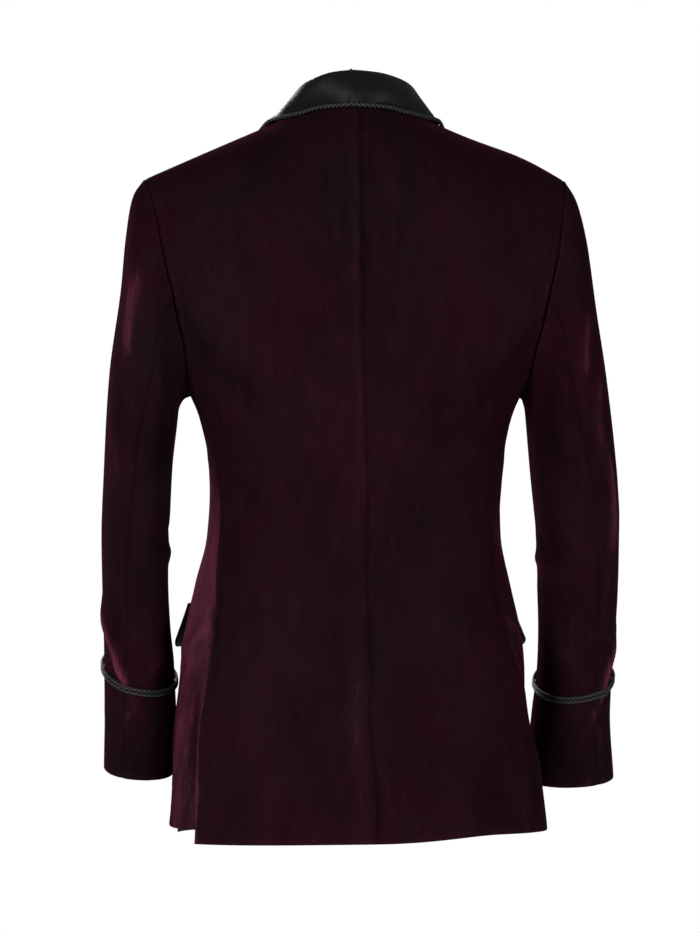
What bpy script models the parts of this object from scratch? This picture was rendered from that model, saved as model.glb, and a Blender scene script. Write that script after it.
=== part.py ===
"""A single-breasted velvet smoking jacket with a satin shawl collar, hollow, in its worn form.

Metres, +Z up. The front faces -Y and the wearer's left is +X. The origin is the middle of the neck opening,
level with the tops of the shoulders. Every cloth piece is an open surface worked out from the tables below,
with a Solidify modifier that grows the wall inwards.
"""

import math

import bpy
import numpy as np

NAME = "smoking_jacket"
WALL = 0.0018
COLLAR_WALL = 0.0016
SEAM_GAP = 0.0007
CENTRE_GAP = 0.0005
SHOULDER_GAP = 0.0020
SLEEVE_GAP = 0.0016
SLEEVE_SET = 0.0012
LAY = 0.0007

ROUNDNESS = 0.80
SHOULDER_DROP = 0.4556
SHOULDER_TOP = 0.0175
SHOULDER_BLEND = 0.04
NAPE_RISE = 0.016
NAPE_SPREAD = 0.045
RIDGE_Y = -0.005
SHOULDER_ROLL = 0.11
NECK_X = 0.076
NECK_Y = 0.064
TIP = (0.217, -0.065)
JOIN_Z = -0.262
HEM_Z = -0.733
FRONT_DROP = 0.012
SIDE_RISE = 0.013
ARMHOLE_DIP = 0.025
UNDERARM_BLEND = 0.02
VENT_TOP = -0.53
UNDERLAP = 0.034
BUTTON_Z = -0.405
# Rough radii of the body's round at its side and at the hip, which turn a length along it into an angle.
SIDE_ROUND = 0.12
HIP_ROUND = 0.165

# Heights down the body with half width, depth to the back and depth to the front.
BODY = {
    "z": (-0.750, -0.730, -0.660, -0.600, -0.540, -0.480, -0.430, -0.390, -0.350, -0.310, -0.285, -0.268,
          -0.250, -0.220, -0.180, -0.130, -0.060),
    "half": (0.1930, 0.1920, 0.1870, 0.1795, 0.1745, 0.1620, 0.1510, 0.1490, 0.1515, 0.1600, 0.1705, 0.1800,
             0.1910, 0.2080, 0.2220, 0.2320, 0.2350),
    "back": (0.1320, 0.1310, 0.1260, 0.1200, 0.1120, 0.1010, 0.0930, 0.0910, 0.0960, 0.1030, 0.1070, 0.1090,
             0.1110, 0.1140, 0.1160, 0.1150, 0.1100),
    "front": (0.1480, 0.1470, 0.1440, 0.1400, 0.1360, 0.1320, 0.1290, 0.1280, 0.1290, 0.1310, 0.1320, 0.1320,
              0.1310, 0.1280, 0.1230, 0.1130, 0.0980),
}

# The armhole seam seen from behind or from the front.
ARMHOLE = {
    "z": (-0.262, -0.240, -0.216, -0.183, -0.161, -0.130, -0.103, -0.080, -0.065),
    "x": (0.1755, 0.1790, 0.1850, 0.1915, 0.1970, 0.2030, 0.2080, 0.2130, 0.2170),
}

# How far the centre-back seam lies to the wearer's left of the middle.
CENTRE_SEAM = {
    "z": (-0.750, -0.570, -0.380, -0.310, -0.200, -0.050, 0.020),
    "x": (-0.011, -0.007, -0.004, 0.000, 0.005, 0.005, 0.006),
}

# The seams between back and side body, and between side body and front, as shares of the half width.
SIDE_SEAMS = {
    "z": (-0.750, -0.720, -0.660, -0.618, -0.585, -0.544, -0.484, -0.413, -0.360, -0.310, -0.262),
    "back_x": (0.161, 0.158, 0.154, 0.151, 0.147, 0.141, 0.134, 0.134, 0.1440, 0.1595, 0.1755),
    "front_angle": (112, 112, 113, 114, 115, 116, 117, 117, 116, 113, 109),
}

# Degrees by which the side-back seam and vent lie further round to the front than the table above.
SEAM_SWING = {
    "z": (-0.750, -0.672, -0.629, -0.581, -0.542, -0.490, -0.455, -0.400, -0.340),
    "left": (3, 3.5, 3.4, 4.5, 5.5, 6.5, 7.4, 5, 0),
    "right": (32, 25, 20, 17, 11, 7, 6, 4, 0),
}

# How far the skirt hangs to the wearer's left, and how much higher the right half's hem is.
SKIRT_SWAY = {
    "z": (-0.750, -0.670, -0.620, -0.560, -0.480, -0.440, -0.390, -0.340),
    "x": (0.0000, 0.0020, 0.0050, 0.0030, 0.0030, 0.0020, 0.0010, 0.0000),
}
HEM_RISE = {"left": 0.0, "right": 0.007}
HEM_RISE_REACH = 0.7

# The right shoulder is a little fuller halfway out.
SHOULDER_RISE = 0.0055
RISE_X = 0.175
RISE_REACH = 0.045
RISE_FROM_Z = -0.30
RISE_Z_REACH = 0.22

# The front edge: the roll line above the button and the cutaway below it.
FRONT_EDGE = {
    "z": (-0.748, -0.740, -0.722, -0.690, -0.640, -0.570, -0.500, -0.440, -0.395, -0.300, -0.200, -0.100,
          -0.004),
    "x": (0.118, 0.092, 0.068, 0.046, 0.026, 0.004, -0.012, -0.019, -0.020, 0.006, 0.033, 0.058, 0.076),
}

# Heights of the rows that all panels share below the armhole, from the hem up.
LEVELS = (HEM_Z, -0.722, -0.700, -0.664, -0.624, -0.584, -0.548, -0.530, -0.508, -0.468, -0.426, -0.384,
          -0.342, -0.301, JOIN_Z)

# The right front turns back a little further out and higher, so that it tucks under the left one.
# The tuck grows down the lapel and ends just below it.
RIGHT_TUCK = 0.042
RIGHT_RISE = 0.070
TUCK = {"from_z": -0.10, "reach": 0.20, "end_z": -0.366, "end_reach": 0.05}

# Where the left front laps over the right one, and the room it leaves under it.
LAP = {"room": 0.001, "x": 0.055, "x_reach": 0.03, "z": -0.22, "z_reach": 0.07}

# How the vents stand open: the back lifts off the side body over these reaches in height and in angle.
# The underlap lies this much further in and fades round the side body.
VENT = {"lift": 0.006, "above": 0.02, "z_reach": 0.15, "angle_reach": 0.9}
UNDERLAP_SET = {"above": 0.001, "reach": 0.018, "hem_angle": 0.03, "depth": 0.0034, "depth_reach": 0.022,
                "angle_reach": 0.35}

# The sleeve's outline: outer and inner edge, middle and half of its depth.
SLEEVE = {
    "t": (0.00, 0.06, 0.14, 0.24, 0.36, 0.50, 0.62, 0.72, 0.80, 0.88, 1.00),
    "outer_x": (0.2170, 0.2290, 0.2390, 0.2465, 0.2560, 0.2630, 0.2660, 0.2655, 0.2640, 0.2640, 0.2665),
    "outer_z": (-0.065, -0.083, -0.125, -0.185, -0.265, -0.360, -0.440, -0.507, -0.557, -0.606, -0.680),
    "inner_x": (0.1760, 0.1800, 0.1815, 0.1830, 0.1855, 0.1890, 0.1920, 0.1930, 0.1920, 0.1895, 0.1870),
    "inner_z": (-0.287, -0.290, -0.300, -0.322, -0.365, -0.425, -0.480, -0.530, -0.573, -0.615, -0.684),
    "middle_y": (0.000, 0.000, 0.002, 0.004, 0.004, 0.000, -0.012, -0.030, -0.045, -0.060, -0.080),
    "half_y": (0.070, 0.077, 0.081, 0.081, 0.076, 0.069, 0.063, 0.059, 0.056, 0.053, 0.050),
}
CUFF_SLOPE = 0.15
SLEEVE_ROUNDNESS = 0.92
ARMHOLE_FADE = 0.16
ARM_ROUND = 0.05
ROW_CROWDING = {"share": 0.65, "power": 1.35}
HINDARM_SEAM = (100, 62)
FOREARM_SEAM = 248
# How far out each sleeve's outline lies from the table above, at its places, and how much longer it hangs.
SLEEVE_OUTER = {
    "left": (0, -0.0005, -0.0027, -0.0044, -0.0030, -0.0045, -0.0050, -0.0060, -0.0062, -0.0070, -0.0090),
    "right": (0, -0.0010, -0.0013, -0.0006, 0.0025, 0.0070, 0.0090, 0.0105, 0.0105, 0.0110, 0.0160),
}
SLEEVE_INNER = {
    "left": (0, 0, 0.0005, 0.0015, 0.0035, 0.0025, 0.0005, -0.0035, -0.0070, -0.0070, -0.0030),
    "right": (0, -0.0015, -0.0036, -0.0033, -0.0025, 0, 0.0005, 0.0030, 0.0045, 0.0040, 0.0020),
}
SLEEVE_EXTRA = {"left": -0.006, "right": 0.006}

# Stations along the shawl collar: the roll line, then the outer edge on the body.
COLLAR = {
    "roll_x": (0.000, 0.027, 0.049, 0.0605, 0.0645, 0.066, 0.064, 0.057, 0.046, 0.033, 0.019, 0.003, -0.011,
               -0.019),
    "roll_y": (0.063, 0.059, 0.044, 0.020, -0.008, -0.040, -0.072, -0.098, -0.116, -0.127, -0.133, -0.1345,
               -0.1335, -0.1325),
    "roll_z": (0.0420, 0.0405, 0.0350, 0.0255, 0.0120, -0.0150, -0.042, -0.088, -0.140, -0.195, -0.250,
               -0.310, -0.360, -0.388),
    "edge_x": (0.000, 0.030, 0.054, 0.0710, 0.0835, 0.1000, 0.121, 0.130, 0.128, 0.113, 0.089, 0.057, 0.022,
               -0.013),
    "edge_z": (0.0040, 0.0025, -0.0025, -0.0045, -0.0060, -0.0280, -0.070, -0.118, -0.168, -0.222, -0.275,
               -0.328, -0.371, -0.3935),
    "face": (1, 1, 1, 1, 0, -1, -1, -1, -1, -1, -1, -1, -1, -1),
}
# The collar's shift to the wearer's left at the back of the neck, and the share of it that the roll takes.
COLLAR_SWAY = 0.012
SWAY_REACH = 0.08
ROLL_SWAY = 0.7
# How far the roll has settled beside the middle of the neck.
COLLAR_SETTLE = {"left": 0.0034, "right": 0.0016}
# Where the collar's rows lie: shares of its length with their stations.
COLLAR_ROWS = ((0, 0.22, 0.58, 1), (0, 2.7, 5.9, 13))
# Small lengths of the collar. "rest" is its room over the body, and "shoulder_rest" is added over the
# shoulder. "turn" is the height of the turned lapel's roll, and "shoulder_rise" lifts the roll there.
# The others place the seam and the two sides of the roll, outwards and down.
COLLAR_SET = {"rest": 0.0005, "shoulder_rest": 0.0030, "turn": 0.0062, "shoulder_rise": 0.007,
              "seam_up": 0.0012, "seam_under": 0.0013, "seam_in": 0.0046, "inside_in": 0.0036,
              "inside_down": 0.0028, "outside_out": 0.0040, "outside_down": 0.0022, "fall_bow": 0.004,
              "laid_from": 0.004}
# How far each cord's middle lies off the cloth beyond its own radius.
CORD_STAND = 0.0010
CUFF_STAND = 0.0009
COLLAR_CORD_RADIUS = 0.0021
CUFF_CORD_RADIUS = 0.0017
CUFF_CORD_AT = (0.8190, 0.8260)
CUFF_CORD_TILT = 0.020
FLAP = {"top_z": -0.500, "height": 0.046, "length": 0.150, "rear_angle": 96.0, "wall": 0.0022,
        "lift": 0.0010, "round": 0.10, "front_flare": 0.3}
FLAP_FLARE = {"left": 0.0055, "right": 0.0075}
# The button's outline as radius and height, from the shank's foot to the middle of the dome.
BUTTON = ((0.0001, 0.0), (0.0037, 0.0), (0.0042, 0.0012), (0.0095, 0.0014), (0.0105, 0.0026),
          (0.0098, 0.0040), (0.0063, 0.0052), (0.0001, 0.0055))

COLOURS = {
    "velvet": ((0.045, 0.010, 0.018, 1.0), 0.85),
    "satin": ((0.006, 0.006, 0.007, 1.0), 0.35),
    "cord": ((0.010, 0.010, 0.011, 1.0), 0.6),
}


def smooth(share):
    """An S-shaped rise from 0 to 1."""
    share = np.clip(share, 0.0, 1.0)
    return share * share * (3 - 2 * share)


def curve(places, values, at):
    """A smooth curve through a table: cubic pieces whose slopes never overshoot the table's values."""
    places = np.asarray(places, float)
    values = np.asarray(values, float)
    steps = np.diff(values) / np.diff(places)
    slopes = np.empty_like(values)
    slopes[0] = steps[0]
    slopes[-1] = steps[-1]
    same_way = steps[1:] * steps[:-1] > 0
    mean = 2 * steps[1:] * steps[:-1] / np.where(same_way, steps[1:] + steps[:-1], 1.0)
    slopes[1:-1] = np.where(same_way, mean, 0.0)
    at = np.clip(np.asarray(at, float), places[0], places[-1])
    cell = np.clip(np.searchsorted(places, at, side="right") - 1, 0, len(places) - 2)
    width = places[cell + 1] - places[cell]
    share = (at - places[cell]) / width
    rise = values[cell + 1] - values[cell]
    leaving = slopes[cell] * width * share * (1 - share) ** 2
    arriving = slopes[cell + 1] * width * share**2 * (1 - share)
    return values[cell] + rise * share**2 * (3 - 2 * share) + leaving - arriving


def body(column, z):
    """One of the body's measures at height z."""
    return curve(BODY["z"], BODY[column], z)


def ridge_z(x):
    """The shoulder line seen from behind, rising to the nape in the middle."""
    slope = SHOULDER_DROP * (np.sqrt(np.square(x) + SHOULDER_BLEND**2) - SHOULDER_BLEND)
    return SHOULDER_TOP - slope + NAPE_RISE * np.exp(-np.square(np.asarray(x) / NAPE_SPREAD))


def angle_at(x, z):
    """The angle round the body, from the middle of the back, of a place x out at height z."""
    share = np.clip(np.asarray(x) / body("half", z), -1, 1)
    return np.arcsin(np.sign(share) * np.abs(share) ** (1 / ROUNDNESS))


def over_shoulder(x, z, y):
    """Brings the depth y in to the shoulder line where z comes within the shoulder's roll."""
    rise = np.clip((z - ridge_z(x) + SHOULDER_ROLL) / SHOULDER_ROLL, 0, 1)
    return RIDGE_Y + (y - RIDGE_Y) * np.sqrt(np.maximum(1 - rise**2, 0))


def body_at(angle, z):
    """A point of the body's outer surface at height z."""
    across = np.sin(angle)
    along = np.cos(angle)
    x = body("half", z) * np.sign(across) * np.abs(across) ** ROUNDNESS
    depth = np.where(along > 0, body("back", z), body("front", z))
    y = depth * np.sign(along) * np.abs(along) ** ROUNDNESS
    return np.stack([x, over_shoulder(x, z, y), z + 0 * x], -1)


def body_on(x, z, face):
    """A point of the outer surface from its place x, z and its face: 1 for the back, -1 for the front."""
    angle = angle_at(x, z)
    return body_at(np.where(np.asarray(face) < 0, math.pi - angle, angle), z)


def back_edge(z):
    """The angle of the back panel's outer edge: side-back seam, then armhole."""
    seam = angle_at(curve(SIDE_SEAMS["z"], SIDE_SEAMS["back_x"], z), z)
    armhole = angle_at(curve(ARMHOLE["z"], ARMHOLE["x"], z), z)
    return np.where(np.asarray(z) > JOIN_Z, armhole, seam)


def side_edge(z):
    """The angle of the front's outer edge: its seam to the side body, then armhole."""
    seam = np.radians(curve(SIDE_SEAMS["z"], SIDE_SEAMS["front_angle"], z))
    armhole = math.pi - angle_at(curve(ARMHOLE["z"], ARMHOLE["x"], z), z)
    blend = smooth((np.asarray(z) - JOIN_Z) / UNDERARM_BLEND)
    low = np.radians(SIDE_SEAMS["front_angle"][-1])
    start = math.pi - angle_at(ARMHOLE["x"][0], JOIN_Z)
    return np.where(np.asarray(z) > JOIN_Z, armhole + (low - start) * (1 - blend), seam)


def nape(x):
    """The height of the back neck seam."""
    depth = RIDGE_Y + NECK_Y * np.sqrt(np.maximum(1 - (x / NECK_X) ** 2, 0))
    share = (depth - RIDGE_Y) / (BODY["back"][-1] - RIDGE_Y)
    return ridge_z(x) - SHOULDER_ROLL * (1 - np.sqrt(1 - share**2))


def top_z(x):
    """The panel's upper end: the back neck seam, then the shoulder seam."""
    return np.where(x < NECK_X, nape(np.minimum(x, NECK_X)), ridge_z(x))


def low_row(level, angle, side):
    """A row of the body below the armhole. The hem falls a little from the back to the front."""
    share = (JOIN_Z - level) / (JOIN_Z - HEM_Z)
    fall = FRONT_DROP * smooth(angle / math.pi) - HEM_RISE[side] * smooth(angle / HEM_RISE_REACH)
    return body_at(angle, level - fall * share)


def seam_swing(level, side):
    """The angle that the side-back seam lies further round at this height."""
    return np.radians(curve(SEAM_SWING["z"], SEAM_SWING[side], level))


def swayed(points, side):
    """The points moved over with the skirt. Each half is worked out on the left and mirrored later."""
    points[..., 0] += curve(SKIRT_SWAY["z"], SKIRT_SWAY["x"], points[..., 2]) * (1 if side == "left" else -1)
    return points


def fuller(points, side):
    """The points of a right piece lifted where that shoulder is fuller."""
    if side == "right":
        bell = np.exp(-np.square((points[..., 0] - RISE_X) / RISE_REACH))
        points[..., 2] += SHOULDER_RISE * bell * smooth((points[..., 2] - RISE_FROM_Z) / RISE_Z_REACH)
    return points


def tuck(z, side):
    """0 on the left. On the right it rises to 1 down the lapel."""
    return smooth((TUCK["from_z"] - z) / TUCK["reach"]) * (side == "right")


def front_edge(z, side):
    """How far from the middle the front's edge lies at height z."""
    hidden = 1 - smooth((TUCK["end_z"] - z) / TUCK["end_reach"])
    return curve(FRONT_EDGE["z"], FRONT_EDGE["x"], z) + RIGHT_TUCK * tuck(z, side) * hidden


def lap_lift(x, z, side):
    """The left front stands off the right one where it laps over it."""
    across = smooth((LAP["x"] - x) / LAP["x_reach"])
    down = smooth((LAP["z"] - z) / LAP["z_reach"])
    return (WALL + LAY + LAP["room"]) * across * down * (side == "left")


def vent_lift(angle, z, edge):
    """How far the back stands off the side body beside its vent."""
    down = smooth((VENT_TOP + VENT["above"] - z) / VENT["z_reach"])
    return VENT["lift"] * down * smooth(1 - (edge - angle) / VENT["angle_reach"])


def centre_seam(z, side):
    """The angle of a back panel's inner edge. The centre seam wanders a little to one side as it falls."""
    drift = curve(CENTRE_SEAM["z"], CENTRE_SEAM["x"], z) * (1 if side == "left" else -1)
    return float(angle_at(CENTRE_GAP + drift, z))


def back_panel(side, high_rows=10, neck_columns=4, columns=10):
    """A back, from the centre seam to the side-back seam and armhole, from the hem to neck and shoulder."""
    gap = SEAM_GAP / 2 / SIDE_ROUND
    tip_edge = float(back_edge(TIP[1])) - gap
    tip_centre = centre_seam(TIP[1], side)
    neck_share = (float(angle_at(NECK_X, TIP[1])) - tip_centre) / (tip_edge - tip_centre)
    shares = np.r_[np.linspace(0, neck_share, neck_columns, endpoint=False),
                   np.linspace(neck_share, 1, columns - neck_columns + 1)]
    rows = []
    for level in LEVELS[:-1]:
        edge = float(back_edge(level) + seam_swing(level, side))
        centre = centre_seam(level, side)
        angle = centre + shares * (edge - gap - centre)
        normal = np.stack([np.sin(angle), np.cos(angle), 0 * angle], -1)
        rows.append(low_row(level, angle, side) + normal * vent_lift(angle, level, edge)[:, None])
    tops = top_z(body_at(tip_centre + shares * (tip_edge - tip_centre), TIP[1])[:, 0])
    for share in np.linspace(0, 1, high_rows + 1):
        up = 1 - (1 - share) ** 2
        level = JOIN_Z + up * (TIP[1] - JOIN_Z)
        edge = float(back_edge(level + 1e-6))
        centre = centre_seam(level, side)
        angle = centre + shares * (edge - gap - centre)
        rows.append(body_at(angle, JOIN_Z + up * (tops - JOIN_Z)))
    points = np.array(rows)
    points[-1, neck_columns:, 1] += SHOULDER_GAP / 2
    return points


def front_panel(side, high_rows=9, columns=9):
    """One front, from its side seam and armhole to the roll line, the lap and the cutaway hem."""
    shares = np.linspace(0, 1, columns + 1)
    gap = SEAM_GAP / 2 / SIDE_ROUND
    rows = []
    for level in LEVELS[:-1]:
        start = float(side_edge(level)) + gap
        end = math.pi - float(angle_at(front_edge(level, side), level))
        rows.append(low_row(level, start + shares * (end - start), side))
    tip_start = float(side_edge(TIP[1])) + gap
    tip_end = math.pi - float(angle_at(NECK_X, TIP[1]))
    tops = ridge_z(body_at(tip_start + shares * (tip_end - tip_start), TIP[1])[:, 0])
    for share in np.linspace(0, 1, high_rows + 1):
        up = 1 - (1 - share) ** 2
        level = JOIN_Z + up * (TIP[1] - JOIN_Z)
        start = float(side_edge(level + 1e-6)) + gap
        z = JOIN_Z + up * (tops - JOIN_Z)
        end = math.pi - float(angle_at(front_edge(z[-1], side), z[-1]))
        rows.append(body_at(start + shares * (end - start), z))
    points = np.array(rows)
    points[-1, :, 1] -= SHOULDER_GAP / 2
    points[..., 1] -= lap_lift(points[..., 0], points[..., 2], side)
    return points


def side_panel(side, columns=5):
    """Left side body, with the underlap of the vent below its top."""
    shares = np.linspace(0, 1, columns + 1)
    gap = SEAM_GAP / 2 / SIDE_ROUND
    rows = []
    for level in LEVELS:
        start = float(back_edge(level) + seam_swing(level, side)) + gap
        end = float(side_edge(level)) - gap
        angle = start + shares * (end - start)
        under = float(smooth((VENT_TOP + UNDERLAP_SET["above"] - level) / UNDERLAP_SET["reach"]))
        angle[0] -= under * UNDERLAP / SIDE_ROUND
        angle[1] += under * (start + UNDERLAP_SET["hem_angle"] - angle[1])
        points = low_row(level, angle, side)
        if level == HEM_Z:
            points[:, 2] += SIDE_RISE
        if level == JOIN_Z:
            points = body_at(angle, JOIN_Z - ARMHOLE_DIP * np.sin(math.pi * shares))
        down = float(smooth((VENT_TOP - level) / UNDERLAP_SET["depth_reach"] + 1))
        fade = smooth(1 - (angle - start) / UNDERLAP_SET["angle_reach"])
        normal = np.stack([np.sin(angle), np.cos(angle), 0 * angle], -1)
        rows.append(points - normal * (UNDERLAP_SET["depth"] * down * fade)[:, None])
    return np.array(rows)


def armhole(turn):
    """A point of the armhole seam. The turn runs from the shoulder tip over the back to the underarm."""
    low = JOIN_Z - ARMHOLE_DIP
    z = (TIP[1] + low) / 2 + (TIP[1] - low) / 2 * np.cos(turn)
    face = np.where(np.sin(turn) >= 0, 1.0, -1.0)
    level = np.maximum(z, JOIN_Z)
    x = curve(ARMHOLE["z"], ARMHOLE["x"], level)
    high = body_on(x, level, face)
    dip = np.arcsin(np.clip((JOIN_Z - z) / ARMHOLE_DIP, 0, 1)) / math.pi
    share = np.where(face > 0, dip, 1 - dip)
    back = back_edge(JOIN_Z)
    angle = back + share * (side_edge(JOIN_Z) - back)
    under = body_at(angle, z)
    return np.where((z > JOIN_Z)[..., None], high, under)


def sleeve_at(t, turn, side):
    """A point of the sleeve's outer surface. t runs down from the armhole, turn goes round over the back."""
    t, turn = np.broadcast_arrays(np.asarray(t, float), np.asarray(turn, float))

    def read(column):
        return curve(SLEEVE["t"], SLEEVE[column], t)

    out = curve(SLEEVE["t"], SLEEVE_OUTER[side], t)
    into = curve(SLEEVE["t"], SLEEVE_INNER[side], t)
    drop = SLEEVE_EXTRA[side] * t
    outer = np.stack([read("outer_x") + out, read("middle_y"), read("outer_z") - drop], -1)
    inner = np.stack([read("inner_x") + into, read("middle_y"), read("inner_z") - drop], -1)
    middle = (outer + inner) / 2
    half = (outer - inner) / 2
    round_cos = np.sign(np.cos(turn)) * np.abs(np.cos(turn)) ** SLEEVE_ROUNDNESS
    round_sin = np.sign(np.sin(turn)) * np.abs(np.sin(turn)) ** SLEEVE_ROUNDNESS
    depth = np.zeros_like(middle)
    depth[..., 1] = read("half_y")
    depth[..., 2] = -CUFF_SLOPE * read("half_y") * smooth(2 * t - 1)
    points = middle + half * round_cos[..., None] + depth * round_sin[..., None]
    tip = np.array([TIP[0], 0, TIP[1]])
    underarm = np.array([SLEEVE["inner_x"][0], 0, SLEEVE["inner_z"][0]])
    start = (tip + underarm) / 2 + (tip - underarm) / 2 * round_cos[..., None]
    start = start + np.array([0, SLEEVE["half_y"][0], 0]) * round_sin[..., None]
    fade = (1 - smooth(t / ARMHOLE_FADE))[..., None]
    return points + (armhole(turn) - start) * fade + np.array([SLEEVE_SET, 0, 0]) * fade


def sleeve_panel(side, piece, rows=17):
    """The top sleeve, from the forearm seam over the outside to the hindarm seam, or the under sleeve."""
    steps = np.linspace(0, 1, rows + 1)
    crowding = ROW_CROWDING["share"]
    t = ((1 - crowding) * steps + crowding * steps ** ROW_CROWDING["power"])[:, None]
    hindarm = np.radians(HINDARM_SEAM[0] + (HINDARM_SEAM[1] - HINDARM_SEAM[0]) * smooth(t))
    forearm = math.radians(FOREARM_SEAM)
    gap = SLEEVE_GAP / 2 / ARM_ROUND
    if piece == "top":
        first, last, columns = forearm - 2 * math.pi + gap, hindarm - gap, 11
    else:
        first, last, columns = hindarm + gap, forearm - gap, 10
    shares = np.linspace(0, 1, columns + 1)[None, :]
    return sleeve_at(t, first + shares * (last - first), side)


def skin_normal(x, z, face):
    """The outward direction of the body's surface, close enough to lay the collar on it."""
    angle = angle_at(x, z)
    depth = np.where(face < 0, body("front", z), body("back", z)) + abs(RIDGE_Y)
    steep = np.minimum(depth / body("half", z) * np.abs(np.tan(angle)) ** (2 - ROUNDNESS), 6)
    rise = np.clip((z - ridge_z(x) + SHOULDER_ROLL) / SHOULDER_ROLL, 0, 1)
    fall = np.sqrt(np.maximum(1 - rise**2, 0))
    across = steep * fall * SHOULDER_ROLL + SHOULDER_DROP * depth * rise
    normal = np.stack([across, np.where(face < 0, -1, 1) * fall * SHOULDER_ROLL, depth * rise], -1)
    return normal / np.linalg.norm(normal, axis=-1, keepdims=True)


def on_skin(x, z, face, height, side):
    """A point at a height over the body's surface, or over the lap of the left front."""
    z = np.minimum(z, ridge_z(x) - 1e-5)
    point = body_on(x, z, face) + skin_normal(x, z, face) * np.reshape(height, (-1, 1))
    point[:, 1] -= np.where(face < 0, lap_lift(x, z, side), 0)
    return point


def collar_rows(rows):
    """Places of the collar's rows, closest together over the shoulder."""
    return curve(COLLAR_ROWS[0], COLLAR_ROWS[1], np.linspace(0, 1, rows + 1))


def collar_sway(x, side):
    """How far the collar has shifted to the wearer's left at the back of the neck, on each half's own x."""
    fade = np.maximum(1 - np.square(np.asarray(x) / SWAY_REACH), 0) ** 1.5
    return COLLAR_SWAY * fade * (1 if side == "left" else -1)


def collar_half(side, rows=26):
    """Half of the shawl collar: stand, roll and fall at the back, the turned lapel down the front."""
    stations = np.arange(len(COLLAR["roll_x"]))
    at = collar_rows(rows)

    def read(column):
        return curve(stations, COLLAR[column], at)

    extra = COLLAR_SET["shoulder_rest"] * np.exp(-np.square((at - 5.0) / 0.8))
    rest = COLLAR_WALL + LAY + COLLAR_SET["rest"] + extra
    face = np.where(read("face") < 0, -1.0, 1.0)
    front = smooth((at - 4) / 1.5)[:, None]
    neck_x = NECK_X * np.sin(np.clip(at / 4, 0, 1) * math.pi / 2)
    neck_x = neck_x + collar_sway(neck_x, side)
    roll_x = read("roll_x") + ROLL_SWAY * collar_sway(read("roll_x"), side)
    roll_z = read("roll_z") * (1 - RIGHT_RISE * tuck(read("roll_z"), side))
    roll_z -= COLLAR_SETTLE[side] * np.exp(-np.square((at - 1.7) / 0.9))
    edge_z = read("edge_z") * (1 - RIGHT_RISE * tuck(read("edge_z"), side))
    roll = np.stack([roll_x, read("roll_y"), roll_z], -1)
    edge_x = read("edge_x") + collar_sway(read("edge_x"), side) + RIGHT_TUCK * tuck(read("edge_z"), side)
    edge = on_skin(edge_x, edge_z, face, rest, side)
    neck = body_on(neck_x, nape(neck_x), np.ones_like(at))
    line_x = front_edge(roll_z, side)
    turned = on_skin(line_x, roll_z, -np.ones_like(at), COLLAR_SET["turn"], side)
    roll = roll * (1 - front) + turned * front
    raised = COLLAR_SET["shoulder_rise"] * np.exp(-np.square((at - 4.75) / 0.5))
    roll += np.array([0.2, 0, 1]) * raised[:, None]
    tangent = np.gradient(roll, axis=0)
    tangent /= np.linalg.norm(tangent, axis=1, keepdims=True)
    radial = roll * np.array([1, 1, 0])
    radial /= np.linalg.norm(radial, axis=1, keepdims=True)
    across = (edge - roll) / np.linalg.norm(edge - roll, axis=1, keepdims=True)
    out = radial * (1 - front) + across * front
    out -= tangent * (out * tangent).sum(1, keepdims=True)
    out /= np.linalg.norm(out, axis=1, keepdims=True)
    up = np.cross(tangent, out)
    panel_edge = on_skin(line_x, roll_z, -np.ones_like(at), 0.0, side)
    past = smooth((at - 4) / 0.6)[:, None]
    back_seam = neck + np.array([0, 0, COLLAR_SET["seam_up"]])
    front_seam = panel_edge - up * COLLAR_SET["seam_under"] - out * COLLAR_SET["seam_in"]
    seam = back_seam * (1 - past) + front_seam * past
    inside = roll - out * COLLAR_SET["inside_in"] - up * COLLAR_SET["inside_down"]
    outside = roll + out * COLLAR_SET["outside_out"] - up * COLLAR_SET["outside_down"]
    columns = [seam, (seam + inside) / 2, inside, roll, outside]
    lies = smooth((at - 4.4) / 1.4)[:, None]
    for share in (0.3, 0.6, 0.85):
        point = outside + share * (edge - outside)
        point = point + out * (COLLAR_SET["fall_bow"] * math.sin(math.pi * share) * (1 - front))
        first_x = line_x + COLLAR_SET["laid_from"]
        base_x = first_x + share * (edge_x - first_x)
        laid = on_skin(base_x, roll_z + share * (edge_z - roll_z), face, rest, side)
        columns.append(point * (1 - lies) + laid * lies)
    columns.append(edge)
    points = np.stack(columns, 1)
    points[0, :, 0] = SEAM_GAP / 2 + collar_sway(0.0, side)
    return points


def in_collection(name):
    """A new collection in the scene."""
    collection = bpy.data.collections.new(name)
    bpy.context.scene.collection.children.link(collection)
    return collection


def material(name):
    """A plain material from the table of colours."""
    colour, roughness = COLOURS[name]
    made = bpy.data.materials.new(name)
    made.use_nodes = True
    shader = made.node_tree.nodes["Principled BSDF"]
    shader.inputs["Base Color"].default_value = colour
    shader.inputs["Roughness"].default_value = roughness
    shader.inputs["Metallic"].default_value = 0.0
    return made


def cloth(name, points, wall, look, mirrored=False):
    """A grid of points as an open surface whose Solidify grows the wall inwards."""
    rows, columns = points.shape[:2]
    places = points.reshape(-1, 3) * np.array([-1 if mirrored else 1, 1, 1])
    faces = []
    for i in range(rows - 1):
        for j in range(columns - 1):
            a = i * columns + j
            face = (a, a + columns, a + columns + 1, a + 1)
            faces.append(face[::-1] if mirrored else face)
    mesh = bpy.data.meshes.new(name)
    mesh.from_pydata(places.tolist(), [], faces)
    mesh.materials.append(look)
    mesh.shade_smooth()
    obj = bpy.data.objects.new(name, mesh)
    COLLECTION.objects.link(obj)
    solid = obj.modifiers.new("wall", "SOLIDIFY")
    solid.thickness = wall
    solid.offset = -1
    return obj


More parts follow.
